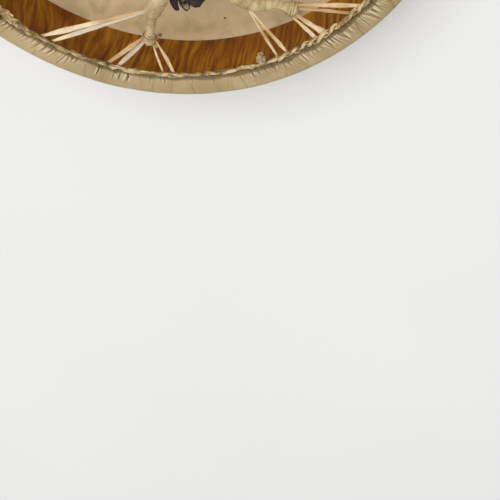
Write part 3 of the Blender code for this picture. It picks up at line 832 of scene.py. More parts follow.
def crumple_edge(relief, degrees, column):
    """Raise small crumpled lumps along the fold's edge."""
    scale = math.radians(1.0) * FOLD_MIDDLE
    for place, spread in RUFFLES:
        x = away_from(degrees, place)
        envelope = np.exp(-((x / spread) ** 4)) * np.exp(-((column / 0.0062) ** 4))
        across = np.sin(x * scale / 0.00042 + 1.3 * np.sin(column / 0.0007))
        relief += 0.00065 * envelope * (across * np.sin(column / 0.00062 + x * 2.1))


def shade_and_highlight(relief, degrees, column, dice):
    """How much painted shade each place of the fold gets, up to 1; below 0 it is a ridge that gets painted
    highlight.
    """
    painted_shading = np.clip(-relief / FULL_SHADE_DEPTH, -1.0, 1.0)
    # Painted shadow: a dark line beside the lacing that comes and goes and is widest by the button
    reach_in = 0.0026 + wander(dice, 150, len(degrees), 0.0009, looped=True)
    reach_in = reach_in + 0.0008 * np.exp(-((away_from(degrees, WIDEST_SHADOW_LINE) / 20.0) ** 2))
    shadowed = np.clip((reach_in - column) / 0.0012, 0.0, 1.0)
    return np.where(shadowed > 0.0, np.maximum(painted_shading, shadowed), painted_shading)


def fold_relief(degrees, s, depth_share):
    """The gathered fold's relief at each angle and distance from its edge, and its marks for painted shade
    and highlight.
    """
    dice = random.Random(SEEDS["creases"])
    relief = np.zeros((len(s), len(degrees)))
    column = s[:, None]
    press_creases(relief, degrees, column, depth_share, dice)
    crumple_edge(relief, degrees, column)
    marks = shade_and_highlight(relief, degrees, column, dice)
    relief = np.where(relief < 0.0, -CREASE_LIMIT * np.tanh(-relief / CREASE_LIMIT), relief)
    # Slow dents and swellings, 15 to 40 mm long
    for knots, amount in ((38, 0.00032), (90, 0.00022)):
        swell = wander(dice, knots, len(degrees), amount, looped=True)
        relief += swell * np.clip(column / 0.006, 0.25, 1.0)
    lip = wander(dice, 210, len(degrees), 0.00055, looped=True)
    relief += lip * np.clip(1.0 - column / 0.0035, 0.0, 1.0) ** 1.5
    return relief, marks


def fold_rings(angles, crease_depth, dice):
    """The fold's points from its cut edge outwards, and each one's mark for painted shade or highlight."""
    rows = np.concatenate((np.linspace(0.0, RELIEF_END, RELIEF_ROWS), [FOLD_ROWS_END]))
    relief, painted_shading = fold_relief(angles, rows, crease_depth / DEEP_CREASE)
    count = len(angles)
    ragged = wander(dice, 260, count, 0.0004, looped=True) + wander(dice, 54, count, 0.0004, looped=True)
    radius, height, out, rise = (part[:, None] for part in fold_profile(rows))
    shrink = np.clip(1.0 - rows / 0.005, 0.0, 1.0)[:, None]
    r = radius + out * relief + ragged * shrink
    z = height + rise * relief
    # The cut edge is rounded and as thick as the skin
    inset = np.array((0.0001, 0.0004, 0.0002))[:, None]
    drop = HIDE_THICKNESS * np.array((1.0, 0.6, 0.18))[:, None]
    r = np.concatenate((r[:1] - inset, r))
    z = np.concatenate((z[:1] - drop, z))
    # The cut edge and the creases are marked for the material, which paints shade on them and highlight on
    # the ridges
    marks = np.concatenate((np.full((len(inset), count), 0.8), painted_shading))
    return polar(r, angles[None, :], z), marks


def skin_outside():
    """The skin's outer profile, from the fold's corner down the side to the head's middle."""
    s_end = (OUTER_RADIUS - FOLD_CORNER - FOLD_EDGE) + FOLD_CORNER * math.pi / 2
    radius, height, _, _ = fold_profile(np.linspace(FOLD_ROWS_END, s_end, 4)[1:])
    profile = list(zip(radius, height))
    profile += [(OUTER_RADIUS, z) for z in np.linspace(DRUM_DEPTH - FOLD_CORNER, HEAD_CORNER, 6)[1:]]
    for turn in np.radians((15.0, 30.0, 50.0, 70.0, 90.0)):
        r = OUTER_RADIUS - HEAD_CORNER + HEAD_CORNER * math.cos(turn)
        profile.append((r, HEAD_CORNER * (1 - math.sin(turn))))
    return profile + [(share * OUTER_RADIUS, 0.0) for share in (0.93, 0.8, 0.6, 0.4, 0.2, 0.08)]


def skin_inside():
    """The skin's inner profile, from the fold's underside down the side to the head's middle."""
    wall = OUTER_RADIUS - HIDE_THICKNESS
    top = DRUM_DEPTH - HIDE_THICKNESS
    profile = [(0.1855, top - 0.0002), (0.190, top), (wall - 0.0044, top), (wall - 0.0013, top - 0.0013)]
    profile += [(wall, top - 0.0044), (wall, 0.0030), (wall - 0.0016, HIDE_THICKNESS)]
    return profile + [(share * OUTER_RADIUS, HIDE_THICKNESS) for share in (0.9, 0.8, 0.6, 0.4, 0.2, 0.08)]


def hide_shape(settings):
    """The hide as one closed skin: a fine grid on the gathered fold, a coarser one elsewhere."""
    angles = np.arange(HIDE_SIDES) * 360.0 / HIDE_SIDES
    coarse = angles[::COARSENESS]
    sides = len(coarse)
    dice = random.Random(SEEDS["hide"])
    fold, marks = fold_rings(angles, settings.crease_depth, dice)
    shape = Shape()
    first = shape.add_points(fold, marks)
    add_rows(shape, first, len(fold), HIDE_SIDES)
    last = first + (len(fold) - 1) * HIDE_SIDES
    dents = wander(dice, 30, sides, SIDE_DENTS, looped=True)
    for profile, start, way in ((skin_outside(), last, 1), (skin_inside(), first, -1)):
        r, z = np.array(profile).T[..., None]
        # Only the drum's side is dented
        dented = np.where((r > 0.195) & (z > 0.001), 1.0, 0.0)
        belly = dented * np.sin(np.pi * np.clip(z / DRUM_DEPTH, 0, 1))
        rings = polar(r - np.abs(dents) * belly, coarse[None, :], z)
        base = shape.add_points(rings)
        bridge(shape, start, base, sides, COARSENESS, way)
        add_rows(shape, base, len(rings), sides, way)
        shape.fan(rings[-1], base + (len(rings) - 1) * sides, 0.0, -way)
    return shape


def add_rows(shape, first, rows, sides, way=1):
    """Join rings of points that are in the shape already."""
    i, j = np.meshgrid(np.arange(rows - 1), np.arange(sides), indexing="ij")
    beside = (j + 1) % sides
    near, far = first + i * sides, first + (i + 1) * sides
    faces = np.stack((near + j, near + beside, far + beside, far + j), -1).reshape(-1, 4)[:, ::way]
    shape.add_faces(faces.tolist(), [((0.0, 0.0),) * 4] * len(faces), 0)


def bridge(shape, fine, coarse, sides, ratio, way):
    """Join a fine ring to a coarse one, whose points are at every few of its own."""
    total = sides * ratio
    faces = []
    for j in range(sides):
        near = [fine + (j * ratio + k) % total for k in range(ratio + 1)]
        faces.append((near + [coarse + (j + 1) % sides, coarse + j])[::way])
    shape.add_faces(faces, [((0.0, 0.0),) * (ratio + 3)] * len(faces), 0)


def hoop_profile():
    """The hoop's section, whose back edge is rounded off under the fold."""
    top = DRUM_DEPTH - HIDE_THICKNESS - FIT_GAP - 0.00045
    bottom = HIDE_THICKNESS + FIT_GAP
    corners = (
        (HOOP_OUTER, top, FOLD_CORNER - HIDE_THICKNESS, 0.0),
        (HOOP_INNER, top, HOOP_EDGE / 2, 90.0),
        (HOOP_INNER, bottom, HOOP_EDGE / 2, 180.0),
        (HOOP_OUTER, bottom, HOOP_EDGE, 270.0),
    )
    profile = []
    for r, z, radius, start in corners:
        turn = np.radians(start + np.linspace(0.0, 90.0, 7))
        inward = -radius if r == HOOP_OUTER else radius
        downward = -radius if z == top else radius
        profile += list(zip(r + inward + radius * np.cos(turn), z + downward + radius * np.sin(turn)))
    # The long sides get points of their own, so that the wall can be a little uneven
    profile = np.array(profile)
    points = []
    for a, b in zip(profile, np.roll(profile, -1, axis=0)):
        pieces = max(int(np.linalg.norm(b - a) / HOOP_STEP), 1)
        points += [a + (b - a) * k / pieces for k in range(pieces)]
    return np.array(points)


def hoop_shape():
    """The bent hoop: a smooth ring whose inner wall is a little uneven."""
    r, z = hoop_profile().T
    angles = np.arange(HOOP_SIDES) * 360.0 / HOOP_SIDES
    uneven = wander(random.Random(SEEDS["hoop"]), 40, HOOP_SIDES, HOOP_UNEVEN, looped=True)
    shape = Shape()
    shape.grid(polar(r + uneven[:, None] * (r < HOOP_INNER + 0.001), angles[:, None], z), looped=True)
    return shape


def in_chain(degrees):
    """Whether the lacing is a chain at this angle."""
    return any(abs(away_from(degrees, (low + high) / 2)) < (high - low) / 2 for low, high in CHAIN_SPANS)


def lacing_shape(settings):
    """The rawhide lace along the hide's edge: overlapping flat stitches, chains and ragged bits."""
    shape = Shape()
    dice = random.Random(SEEDS["lacing"])
    core(shape, dice)
    for low, high in CHAIN_SPANS:
        chain(shape, low, high, settings.link_length, dice)
    ends = [span for low, high in CHAIN_SPANS for span in (low, high)]
    for low, high in zip(ends[1::2], ends[2::2] + [ends[0] + 360.0]):
        laid(shape, low - 1.0, high + 1.0, settings.stitch_length, dice)
    for place, radius, length, width in SEEN_FLAPS:
        flap(shape, place, radius, length, width, dice)
    for place in SEEN_CURLS:
        curl(shape, place, dice)
    for _ in range(UNSEEN_FLAPS):
        place = dice.uniform(CREASES_SEEN[1], CREASES_SEEN[0] + 360.0)
        radius = dice.uniform(0.1782, 0.1808)
        length = dice.uniform(0.005, 0.012)
        flap(shape, place, radius, length, dice.uniform(0.0024, 0.0044), dice)
        if not in_chain(place) and dice.random() < 0.5:
            curl(shape, place + 2.0, dice)
    return shape


def core(shape, dice):
    """The narrow low strand that runs under all the stitches."""
    count = 720
    degrees = np.arange(count) * 360.0 / count
    radius = LACING_RADIUS + wander(dice, 80, count, 0.0003, True)
    height = EDGE_LACE_Z - 0.0006 + wander(dice, 80, count, 0.0002, True)
    width = 0.0030 + wander(dice, 120, count, 0.0004, True)
    line = polar(radius, degrees, height)
    twists = wander(dice, 60, count, 20.0, True)
    strip(shape, line, UP, width, 0.0010, twists, sides=8, looped=True, finish=1)


def chain(shape, low, high, link, dice):
    """Two strips twisted into a chain; a link shows for half a turn."""
    count = int((high - low) * 4.5)
    degrees = np.linspace(low, high, count)
    knots = int(math.radians(high - low) * EDGE_LACE_RADIUS / link) + 2
    rate = math.pi / (link * (1.0 + wander(dice, knots, count, 0.28)))
    phase = np.cumsum(rate) * math.radians(high - low) * EDGE_LACE_RADIUS / count
    out = polar(1.0, degrees)
    for strand in (0, 1):
        turn = phase + math.pi * strand
        side = 0.00125 * (1.0 + wander(dice, knots * 2, count, 0.35)) * np.cos(turn)
        rise = 0.00085 * np.sin(turn) + wander(dice, knots * 2, count, 0.0003)
        line = out * (LACING_RADIUS + side)[:, None] + UP * (EDGE_LACE_Z + 0.0002 + rise)[:, None]
        faces = UP * (1.0 + 0.5 * np.sin(turn))[:, None] + out * (0.7 * np.cos(turn))[:, None]
        width = 0.0026 * (1.0 + wander(dice, knots * 2, count, 0.30))
        twists = wander(dice, knots * 2, count, 30.0)
        cup = 0.45 + wander(dice, knots * 2, count, 0.3)
        strip(shape, line, faces, width, LACING_THICKNESS, twists, cup)


def laid(shape, low, high, length, dice):
    """Flat stitches that overlap, each from the fold's edge over to the inside."""
    at = low
    while at < high:
        span = math.degrees(length * dice.uniform(0.65, 1.35) / EDGE_LACE_RADIUS)
        count = int(span * 4.0) + 8
        t = np.linspace(0.0, 1.0, count)
        way = dice.choice((-1, 1, 1))
        side = way * (0.0007 - 0.0014 * t) + wander(dice, 5, count, 0.00045)
        rise = 0.0009 * np.sin(np.pi * t) ** 0.6 - 0.0003 + wander(dice, 6, count, 0.00025)
        line = polar(LACING_RADIUS + side, at + span * t, EDGE_LACE_Z + rise)
        ends = np.clip(np.sin(np.pi * (0.08 + 0.84 * t)), 0.0, 1.0) ** 0.45
        width = dice.uniform(0.0019, 0.0039) * ends * (1.0 + wander(dice, 7, count, 0.25))
        twists = dice.uniform(-30.0, 30.0) + wander(dice, 5, count, 25.0)
        strip(shape, line, UP, width, LACING_THICKNESS, twists, dice.uniform(-0.1, 0.6))
        at += span * dice.uniform(0.42, 0.72)


def curl(shape, place, dice):
    """A thin loose loop of lace that stands off the lacing and dives back under it."""
    count = 26
    t = np.linspace(0.0, 1.0, count)
    span = dice.uniform(2.6, 5.0)
    bow = dice.choice((-1, 1)) * dice.uniform(0.0010, 0.0019) * np.sin(np.pi * t)
    lift = 0.0024 * np.sin(np.pi * t) ** 0.7 - 0.0012
    line = polar(EDGE_LACE_RADIUS - 0.0004 + bow, place + span * (t - 0.5), EDGE_LACE_Z + lift)
    width = dice.uniform(0.0009, 0.0015)
    strip(shape, line, UP, width, LACING_THICKNESS, wander(dice, 5, count, 50.0), cup=0.2, sides=10)


def flap(shape, place, radius, length, width, dice):
    """A ragged bit of rawhide, leaf-shaped and curled, that lies along the lacing."""
    count = 18
    t = np.linspace(0.0, 1.0, count)
    span = math.degrees(length / radius)
    bow = dice.uniform(-0.0012, 0.0006) * np.sin(np.pi * t)
    skew = dice.uniform(-0.0012, 0.0012) * (t - 0.5)
    lift = dice.uniform(0.0003, 0.0011) * np.sin(np.pi * t) + wander(dice, 5, count, 0.0003)
    line = polar(radius + bow + skew, place + span * (t - 0.5), EDGE_LACE_Z + 0.0009 + lift)
    peak = dice.uniform(0.35, 0.7)
    widths = width * np.interp(t, (0.0, peak, 1.0), (0.12, 1.0, 0.12)) ** 0.6
    widths = widths * (1.0 + wander(dice, 7, count, 0.3))
    tilt = dice.uniform(-40.0, 40.0) + wander(dice, 4, count, 25.0)
    strip(shape, line, UP, widths, 0.0007, tilt, dice.uniform(0.15, 0.7))


def pair_places(arms):
    """Every lace pair in the solids' order: its two inner ends, and where it meets the rim."""
    lift = UP * (LACE_Z - MIDDLE[2]) / 2
    for arm, direction, stray in zip(arms, ARM_ANGLES, RIGHT_TIP_STRAYS):
        for name, turn in (("left", 0.0), ("right", stray)):
            kink_degrees, tip_degrees = PAIRS[name]
            line = [arm[point] for point in ARM_LINES[name]]
            kink = ARM_LINES[name].index(f"{name}_kink")
            along = unit(line[-1] - line[-2])
            across = np.cross(UP, along)
            start = line[-1] - along * 0.0030 + lift
            for step, degrees in enumerate(tip_degrees):
                ends = [start + across * (2 * step + leg - 1.5) * LACE_INNER_SPACING for leg in (0, 1)]
                yield ends, direction + degrees + turn
            degrees = direction + kink_degrees
            along = unit(line[kink + 1] - line[kink - 1])
            across = np.cross(UP, along)
            towards_rim = across @ (polar(OUTER_RADIUS, degrees) - line[kink]) > 0
            outward = across if towards_rim else -across
            start = line[kink] + outward * (BEND_RADIUS - 0.0022) + lift
            ends = [start - along * LACE_INNER_SPACING / 4, start + along * LACE_INNER_SPACING / 4]
            ends.sort(key=lambda end: end @ polar(1.0, degrees + 90.0))
            yield ends, degrees


def pair_shape(ends, degrees, legs, dice):
    """One pair of laces: a strip from the hand hold under the lacing, round and back."""
    out, side = polar(1.0, degrees), polar(1.0, degrees + 90.0)
    crown = out * (HOOP_INNER - FIT_GAP - 0.0020) + UP * LACE_Z
    shape = Shape()
    for inner, way, (widest, width, turn, side_up) in zip(ends, (-1, 1), legs):
        rim = out * (FOLD_EDGE - 0.0014) + side * way * LACE_LEG_SPACING / 2 + UP * (LACE_Z - 0.0002)
        bow = side * dice.uniform(-0.0005, 0.0005) + UP * dice.uniform(-0.0004, 0.0005)
        near_rim = inner + (rim - inner) * 0.93 + UP * 0.0003
        stops = [inner, inner + (rim - inner) * 0.5 + bow, near_rim, rim]
        stops += [crown + side * way * LACE_CROWN / 2, crown]
        line = even(spline(stops, 120), LACE_POINTS)
        t = np.linspace(0.0, 1.0, LACE_POINTS)
        # The last sixth of the way lies hidden under the lacing
        form = np.interp(t, (0.0, widest * 0.84, 0.80, 0.88, 1.0), (0.38, 1.0, 0.70, 0.45, 0.45))
        widths = width * form * (1.0 + wander(dice, 12, LACE_POINTS, 0.10))
        twists = turn * np.sin(np.pi * np.clip(t / 0.95, 0.0, 1.0)) ** 0.7
        twists = twists + wander(dice, 9, LACE_POINTS, 9.0)
        cup = spline([dice.uniform(0.0, 0.7) for _ in range(5)], LACE_POINTS)
        cup = cup * np.clip((1.0 - t) * 8.0, 0.0, 1.0)
        strip(shape, line, UP, widths, LACE_THICKNESS, twists, cup, sides=14, finish=side_up)
    return shape


def leg_forms(number, lace_width, dice):
    """Where each of a pair's two legs is widest, how wide, how far turned, and which side is up."""
    if number in SEEN_LEGS:
        return SEEN_LEGS[number]
    return [
        (
            dice.uniform(0.2, 0.8),
            lace_width * dice.uniform(0.65, 1.15),
            dice.uniform(-60.0, 60.0),
            dice.choice((0, 0, 1)),
        )
        for _ in (0, 1)
    ]


def branch_line(arm, name):
    """A branch's centre line and radii, from its root in the fork to its tip."""
    back = unit(MIDDLE - arm["fork"])
    points = [arm[point] for point in ARM_LINES[name]]
    root = arm["fork"] + back * ROOT_REACH[name]
    tip = points[-1]
    along = unit(tip - points[-2])
    waist = tip - along * (TIP_LENGTH + WAIST_LENGTH)
    stops = [root, *points[1:-1], waist, tip - along * TIP_LENGTH, tip]
    # Past the kink the binding draws in at once, and it widens again to the tip's knot
    if name == "left":
        sizes = [ROOT_RADIUS, BEND_RADIUS, BEND_RADIUS, WAIST_RADIUS + 0.0004]
    else:
        sizes = [ARM_RADIUS, BEND_RADIUS - 0.0012, WAIST_RADIUS + 0.0001, WAIST_RADIUS - 0.0001]
    sizes += [WAIST_RADIUS - 0.0004, WAIST_RADIUS - 0.0002, WAIST_RADIUS + 0.0008, TIP_RADIUS - 0.0016]
    stops.insert(-1, tip - along * TIP_LENGTH * 0.6)
    steps = [0.0] + [float(np.linalg.norm(b - a)) for a, b in zip(stops, stops[1:])]
    places = np.cumsum(steps) / sum(steps)
    kink = ARM_LINES[name].index(f"{name}_kink")
    places = np.insert(places, kink + 1, places[kink] + (places[kink + 1] - places[kink]) * 0.5)
    line = even(spline(stops, 160), BRANCH_POINTS)
    return line, np.interp(np.linspace(0.0, 1.0, BRANCH_POINTS), places, sizes)


def cross_shape(settings, arms):
    """The rawhide cross: wound arms and branches with knotted tips."""
    shape = Shape()
    dice = random.Random(SEEDS["cross"])
    ridge, spacing = settings.wrap_ridge, settings.wrap_spacing
    for arm in arms:
        back = unit(MIDDLE - arm["fork"])
        inner = MIDDLE - back * (GRIP_REACH - 0.006)
        line = np.array([inner, arm["fork"] + back * FORK_LENGTH, arm["fork"] - back * 0.001])
        sizes = np.array((ARM_RADIUS, ARM_RADIUS, FORK_RADIUS)) - ridge
        wound(shape, line, sizes, spacing * 1.6, ridge, dice)
        # The left branch is wound in narrow turns, the right one in wide smooth ones
        for name, wide, smooth in (("left", 1.1, 1.0), ("right", 2.6, 0.5)):
            line, radii = branch_line(arm, name)
            turns = spacing * wide * dice.uniform(0.92, 1.08)
            wound(shape, line, radii - ridge * smooth, turns, ridge * smooth, dice)
            bind_fork(shape, line, dice)
            bind_tip(shape, line, dice)
    return shape


def bind_fork(shape, line, dice):
    """Flat turns that hold a branch to its arm at the fork."""
    axis = unit(line[26] - line[8])
    lean = dice.uniform(-16.0, 16.0)
    coil(shape, line[14], axis, ROOT_RADIUS + 0.0004, 0.0034, 0.0009, 2.2, 0.0032, lean, 40.0, dice)


def bind_tip(shape, line, dice):
    """The knotted tip of a branch: windings over each other, small loops and a cut end."""
    tip = line[-1]
    axis = unit(line[-1] - line[-12])
    middle = tip - axis * TIP_LENGTH * 0.30
    for depth, width, turns, pitch, stray, start in TIP_WINDINGS:
        lean = dice.uniform(-stray, stray)
        coil(shape, middle, axis, TIP_RADIUS - depth, width, 0.0011, turns, pitch, lean, start, dice)
    coil(shape, middle, axis, TIP_RADIUS - 0.0002, 0.0013, 0.0009, 1.05, 0.0008, 11.0, 30.0, dice)
    # Small loops of lace hold the next laces to the knot, and the lace's cut end stands off it
    side = unit(np.cross(UP, axis))
    way = unit(axis + side * 0.60 - UP * 0.20)
    for reach_out in (0.0020, 0.0034, 0.0048):
        at = tip + side * 0.0034 + way * reach_out
        start = dice.uniform(0.0, 360.0)
        coil(shape, at, way, 0.0019 - reach_out * 0.1, 0.0011, 0.0008, 1.2, 0.0006, 9.0, start, dice)
    at = tip + axis * 0.0010
    bend = at + axis * 0.0022 - side * 0.0004
    end = at + axis * 0.0046 - side * 0.0014 - UP * 0.0010
    stub = spline([at, bend, end], 14)
    strip(shape, stub, UP, 0.0020, 0.0008, wander(dice, 4, 14, 20.0), cup=0.3, sides=10)


def grip_shape(arms):
    """The dark leather bound round the middle of the cross."""
    shape = Shape()
    dice = random.Random(SEEDS["grip"])
    outside = ARM_RADIUS + FIT_GAP + GRIP_LEATHER
    ways = [unit(arm["fork"] - MIDDLE) for arm in arms]
    for along in ways:
        line = np.array([MIDDLE + along * 0.002, MIDDLE + along * GRIP_REACH])
        wound(shape, line, (outside - 0.0004,) * 2, 0.0075, 0.0008, dice, 0.0005, 28, 0.35, openness=0.4)
    top = HUB_RADIUS + GRIP_LEATHER
    # Straps that cross over the middle, above and below, from one arm to the next but one
    for face in (1.0, -1.0):
        for index, along in enumerate(ways):
            beside = np.cross(UP, along) * (1 if index % 2 else -1)
            rise = UP * face * outside * 0.55
            start = MIDDLE + along * 0.022 - beside * outside * 0.75 + rise
            lift = UP * face * (top - 0.0012 + 0.0004 * index)
            over = MIDDLE + beside * 0.0008 * (index - 1.5) + lift
            end = MIDDLE + ways[(index + 2) % 4] * 0.022 + beside * outside * 0.75 + rise
            stops = [start - UP * face * 0.006, start, over, end, end - UP * face * 0.006]
            twists = wander(dice, 6, 46, 5.0)
            line = even(spline(stops, 60), 46)
            strip(shape, line, UP * face, 0.0078, GRIP_THICKNESS, twists, cup=-0.12, sides=14)
    return shape


def tie_shape(arm):
    """The leather thong: its turns round the arm beside the fork, and three tails."""
    shape = Shape()
    dice = random.Random(SEEDS["tie"])
    along = unit(arm["fork"] - MIDDLE)
    centre = MIDDLE + along * (GRIP_REACH + TIE_CLEARANCE + TIE_WIDTH / 2)
    coil(shape, centre, along, TIE_OUTSIDE - 0.0012, 0.0034, THONG_THICKNESS, 2.4, 0.0028, 5.0, 70.0, dice)
    side = np.cross(UP, along)
    # The flesh side is the flat of the strip that looks up
    x, y = oval(TAIL_SIDES, SQUARENESS)
    upper = ((y + np.roll(y, -1)) / 2 > 0.55) & (np.abs(x + np.roll(x, -1)) / 2 < 0.55)
    t = np.linspace(0.0, 1.0, TAIL_POINTS)
    thick = THONG_THICKNESS * np.interp(t, (0.0, 0.95, 1.0), (1.0, 1.0, 0.45))
    for index, (degrees, share, width, drop, turn, bow, point, flesh) in enumerate(TAILS):
        start = centre - UP * TIE_OUTSIDE + side * (index - 1) * TAIL_SPACING
        end = polar(OUTER_RADIUS * share, degrees, MIDDLE[2] - drop)
        way = end - start
        first = start + way * 0.45 + side * bow * 0.5
        first[2] = start[2] - TAIL_DIP
        second = start + way * 0.8 + side * bow
        second[2] = (first[2] + end[2]) / 2
        line = even(spline([start + UP * 0.003, start, first, second, end], 90), TAIL_POINTS)
        form = (0.35, 0.45, 0.75, 1.0, point, point * 0.7)
        widths = width * np.interp(t, (0.0, 0.12, 0.45, 0.87, 0.985, 1.0), form)
        twists = turn * t + wander(dice, 8, TAIL_POINTS, 13.0)
        cup = 0.30 + wander(dice, 6, TAIL_POINTS, 0.25)
        finish = [flesh if flat else 0 for flat in upper]
        strip(shape, line, UP, widths, thick, twists, cup, sides=TAIL_SIDES, finish=finish)
    return shape


def knot_shape():
    """The button: rawhide rolled into a tight knot of crossing turns."""
    shape = Shape()
    dice = random.Random(SEEDS["button"])
    reach_out = EDGE_LACE_RADIUS - LACE_SWAY - LACE_HALF_WIDTH - FIT_GAP - KNOT_RADIUS
    centre = polar(reach_out, KNOT_DEGREES, EDGE_LACE_Z)
    out, side = polar(1.0, KNOT_DEGREES), polar(1.0, KNOT_DEGREES + 90.0)
    # It stands a little further out than its solid, against the lacing
    centre = centre + out * 0.0026 + UP * 0.0004 - side * 0.0016
    # The rolls are stacked outwards and up; each is (place in the stack, axis, radius, width, turns)
    stack = unit(0.67 * out + 0.73 * UP)
    rolls = (
        (-0.0029, side + 0.20 * stack, 0.0011, 0.0036, 2.3),
        (-0.0010, side - 0.35 * stack, 0.0017, 0.0070, 2.3),
        (0.0004, stack + 0.4 * side, 0.0032, 0.0014, 1.2),
        (0.0014, side + 0.40 * stack, 0.0017, 0.0070, 2.3),
        (0.0034, side - 0.3 * out, 0.0012, 0.0046, 1.8),
    )
    for rise, axis, radius, width, turns in rolls:
        start, lean = dice.uniform(0.0, 360.0), dice.uniform(-9.0, 9.0)
        at = centre + stack * rise
        coil(shape, at, axis, radius, width, ROLL_THICKNESS, turns, 0.0004, lean, start, dice)
    return shape


# Settings


def colour_setting(name, description, code):
    """A colour that a user can change."""
    return bpy.props.FloatVectorProperty(
        name=name,
        description=description,
        subtype="COLOR",
        size=4,
        min=0.0,
        max=1.0,
        default=linear(code),
    )


def length_setting(name, description, value, low, high):
    """A length that a user can change."""
    return bpy.props.FloatProperty(
        name=name,
        description=description,
        default=value,
        min=low,
        max=high,
        precision=4,
        subtype="DISTANCE",
        unit="LENGTH",
    )


class HideSettings(bpy.types.PropertyGroup):
    """The goat hide's colours and creases."""

    head: colour_setting("Head", "Stretched head, seen from inside", "#E3CBA1")
    head_dark: colour_setting("Head clouds", "Darker clouds in the head", "#DDC397")
    fold: colour_setting("Fold", "Gathered fold over the hoop's edge", "#AC956B")
    fold_dark: colour_setting("Fold hollows", "Greener parts of the fold", "#9C8859")
    fold_light: colour_setting("Fold light", "Paler parts of the fold", "#BFA67B")
    fat: colour_setting("Fatty blotches", "Olive blotches where fat was left in the skin", "#AFA171")
    # Painted highlight on the ridges between the creases
    ridge: colour_setting("Ridges", "Rubbed ridges between the creases", "#DCC8A6")
    # Painted shade in the creases, on the fold's cut edge and in a line beside the lacing
    crease: colour_setting("Creases", "Dirt in the creases", "#4E3A1A")
    spots: colour_setting("Spots", "Dark follicle spots", "#6E5F45")
    crease_depth: length_setting("Crease depth", "Depth of a deep crease", 0.0010, 0.0, 0.002)


class HoopSettings(bpy.types.PropertyGroup):
    """The wooden hoop's colours and grain."""

    dark: colour_setting("Dark streaks", "Darkest streaks of the wood", "#5C2C04")
    base: colour_setting("Wood", "Main colour of the wood", "#834B07")
    golden: colour_setting("Golden streaks", "Golden streaks of the wood", "#9F690B")
    light: colour_setting("Light streaks", "Lightest streaks of the wood", "#B8841A")
    red: colour_setting("Red stain", "Where more stain soaked in", "#763404")
    streak_width: length_setting("Streak width", "Width of a streak of the grain", 0.0038, 0.001, 0.02)
    grain_lean: bpy.props.FloatProperty(
        name="Grain lean",
        description="How far the streaks lean from square to the hoop, in degrees",
        default=-5.5,
        min=-45.0,
        max=45.0,
    )


class LaceSettings(bpy.types.PropertyGroup):
    """The rawhide's colours and sizes."""

    light: colour_setting("Light rawhide", "Palest rawhide", "#EEDAB4")
    base: colour_setting("Rawhide", "Main colour of the laces", "#D9BA86")
    dark: colour_setting("Dark rawhide", "Darker parts of the laces", "#BE9A66")
    flesh: colour_setting("Flesh side", "White flesh side of the laces", "#D3C6AE")
    pink: colour_setting("Pink rawhide", "Pinkish patches and cut edges", "#C08A5A")
    green: colour_setting("Green rawhide", "Translucent greenish patches of the lacing", "#AB9A5C")
    lacing_light: colour_setting("Light lacing", "Palest parts of the lacing at the rim", "#D9C08D")
    lacing: colour_setting("Lacing", "Main colour of the lacing at the rim", "#B4965F")
    lacing_dark: colour_setting("Dark lacing", "Brown parts of the lacing at the rim", "#7E5F33")
    # Painted shade: the dark edges stand for the gaps between stitches, and the strand under them is painted
    # dark
    lacing_edge_shade: colour_setting("Lacing's edges", "Cut edges of the lacing at the rim", "#5A3F1C")
    # Painted shade in the grooves between the turns
    groove: colour_setting("Grooves", "Dark grooves between the turns of the hand hold", "#46341A")
    hold_light: colour_setting("Light binding", "Palest turns of the hand hold", "#D3BC8D")
    hold: colour_setting("Binding", "Main colour of the hand hold's turns", "#C2A878")
    hold_dark: colour_setting("Dark binding", "Darker turns of the hand hold", "#AE9363")
    button: colour_setting("Button", "Brown of the rolled button", "#B3967A")
    # Darker tone of the button, and painted shade on its edges in the gaps between rolls
    button_dark_and_gap_shade: colour_setting("Dark button", "Darker parts of the button", "#573C28")
    lace_width: length_setting("Lace width", "Width of a lace where it is widest", 0.0040, 0.001, 0.008)
    stitch_length: length_setting(
        "Stitch length", "Length of a flat stitch of the lacing", 0.0160, 0.006, 0.03
    )
    link_length: length_setting("Link length", "Length of one link of the chain", 0.0088, 0.004, 0.03)
    wrap_spacing: length_setting(
        "Wrap spacing", "Distance between turns round the hand hold", 0.0022, 0.001, 0.01
    )
    wrap_ridge: length_setting(
        "Wrap ridge", "Height of a turn over the groove beside it", 0.00055, 0.0, 0.002
    )


class LeatherSettings(bpy.types.PropertyGroup):
    """The dark leather's colours."""

    dark: colour_setting("Leather", "Main colour of the leather", "#170C0E")
    light: colour_setting("Worn leather", "Colour of its worn high spots", "#422A2E")
    flesh: colour_setting("Flesh side", "Suede side of the thong", "#AA9468")


class StageSettings(bpy.types.PropertyGroup):
    """The floor and the light."""

    floor: colour_setting("Floor", "Plain pale floor", "#EEEEED")
    key_power: bpy.props.FloatProperty(
        name="Key light",
        description="Power of the main soft light, in watts",
        default=214.0,
        min=0.0,
        max=2000.0,
    )
    sky: bpy.props.FloatProperty(
        name="Surrounding light",
        description="Strength of the even white light from all round",
        default=0.67,
        min=0.0,
        max=5.0,
    )


# Operators


class DRUM_OT_hide(bpy.types.Operator):
    """Make the goat hide: head, side and gathered fold"""

    bl_idname = "drum.hide"
    bl_label = "Hide"

    def execute(self, context):
        settings = context.scene.drum_hide
        hide_shape(settings).build("goat_hide", [goat_hide(settings)], "hide", "hide")
        return {"FINISHED"}


class DRUM_OT_hoop(bpy.types.Operator):
    """Make the bent wooden hoop"""

    bl_idname = "drum.hoop"
    bl_label = "Hoop"

    def execute(self, context):
        wood = stained_wood(context.scene.drum_hoop)
        hoop_shape().build("bent_hoop", [wood], "hoop", "hoop_wood")
        return {"FINISHED"}


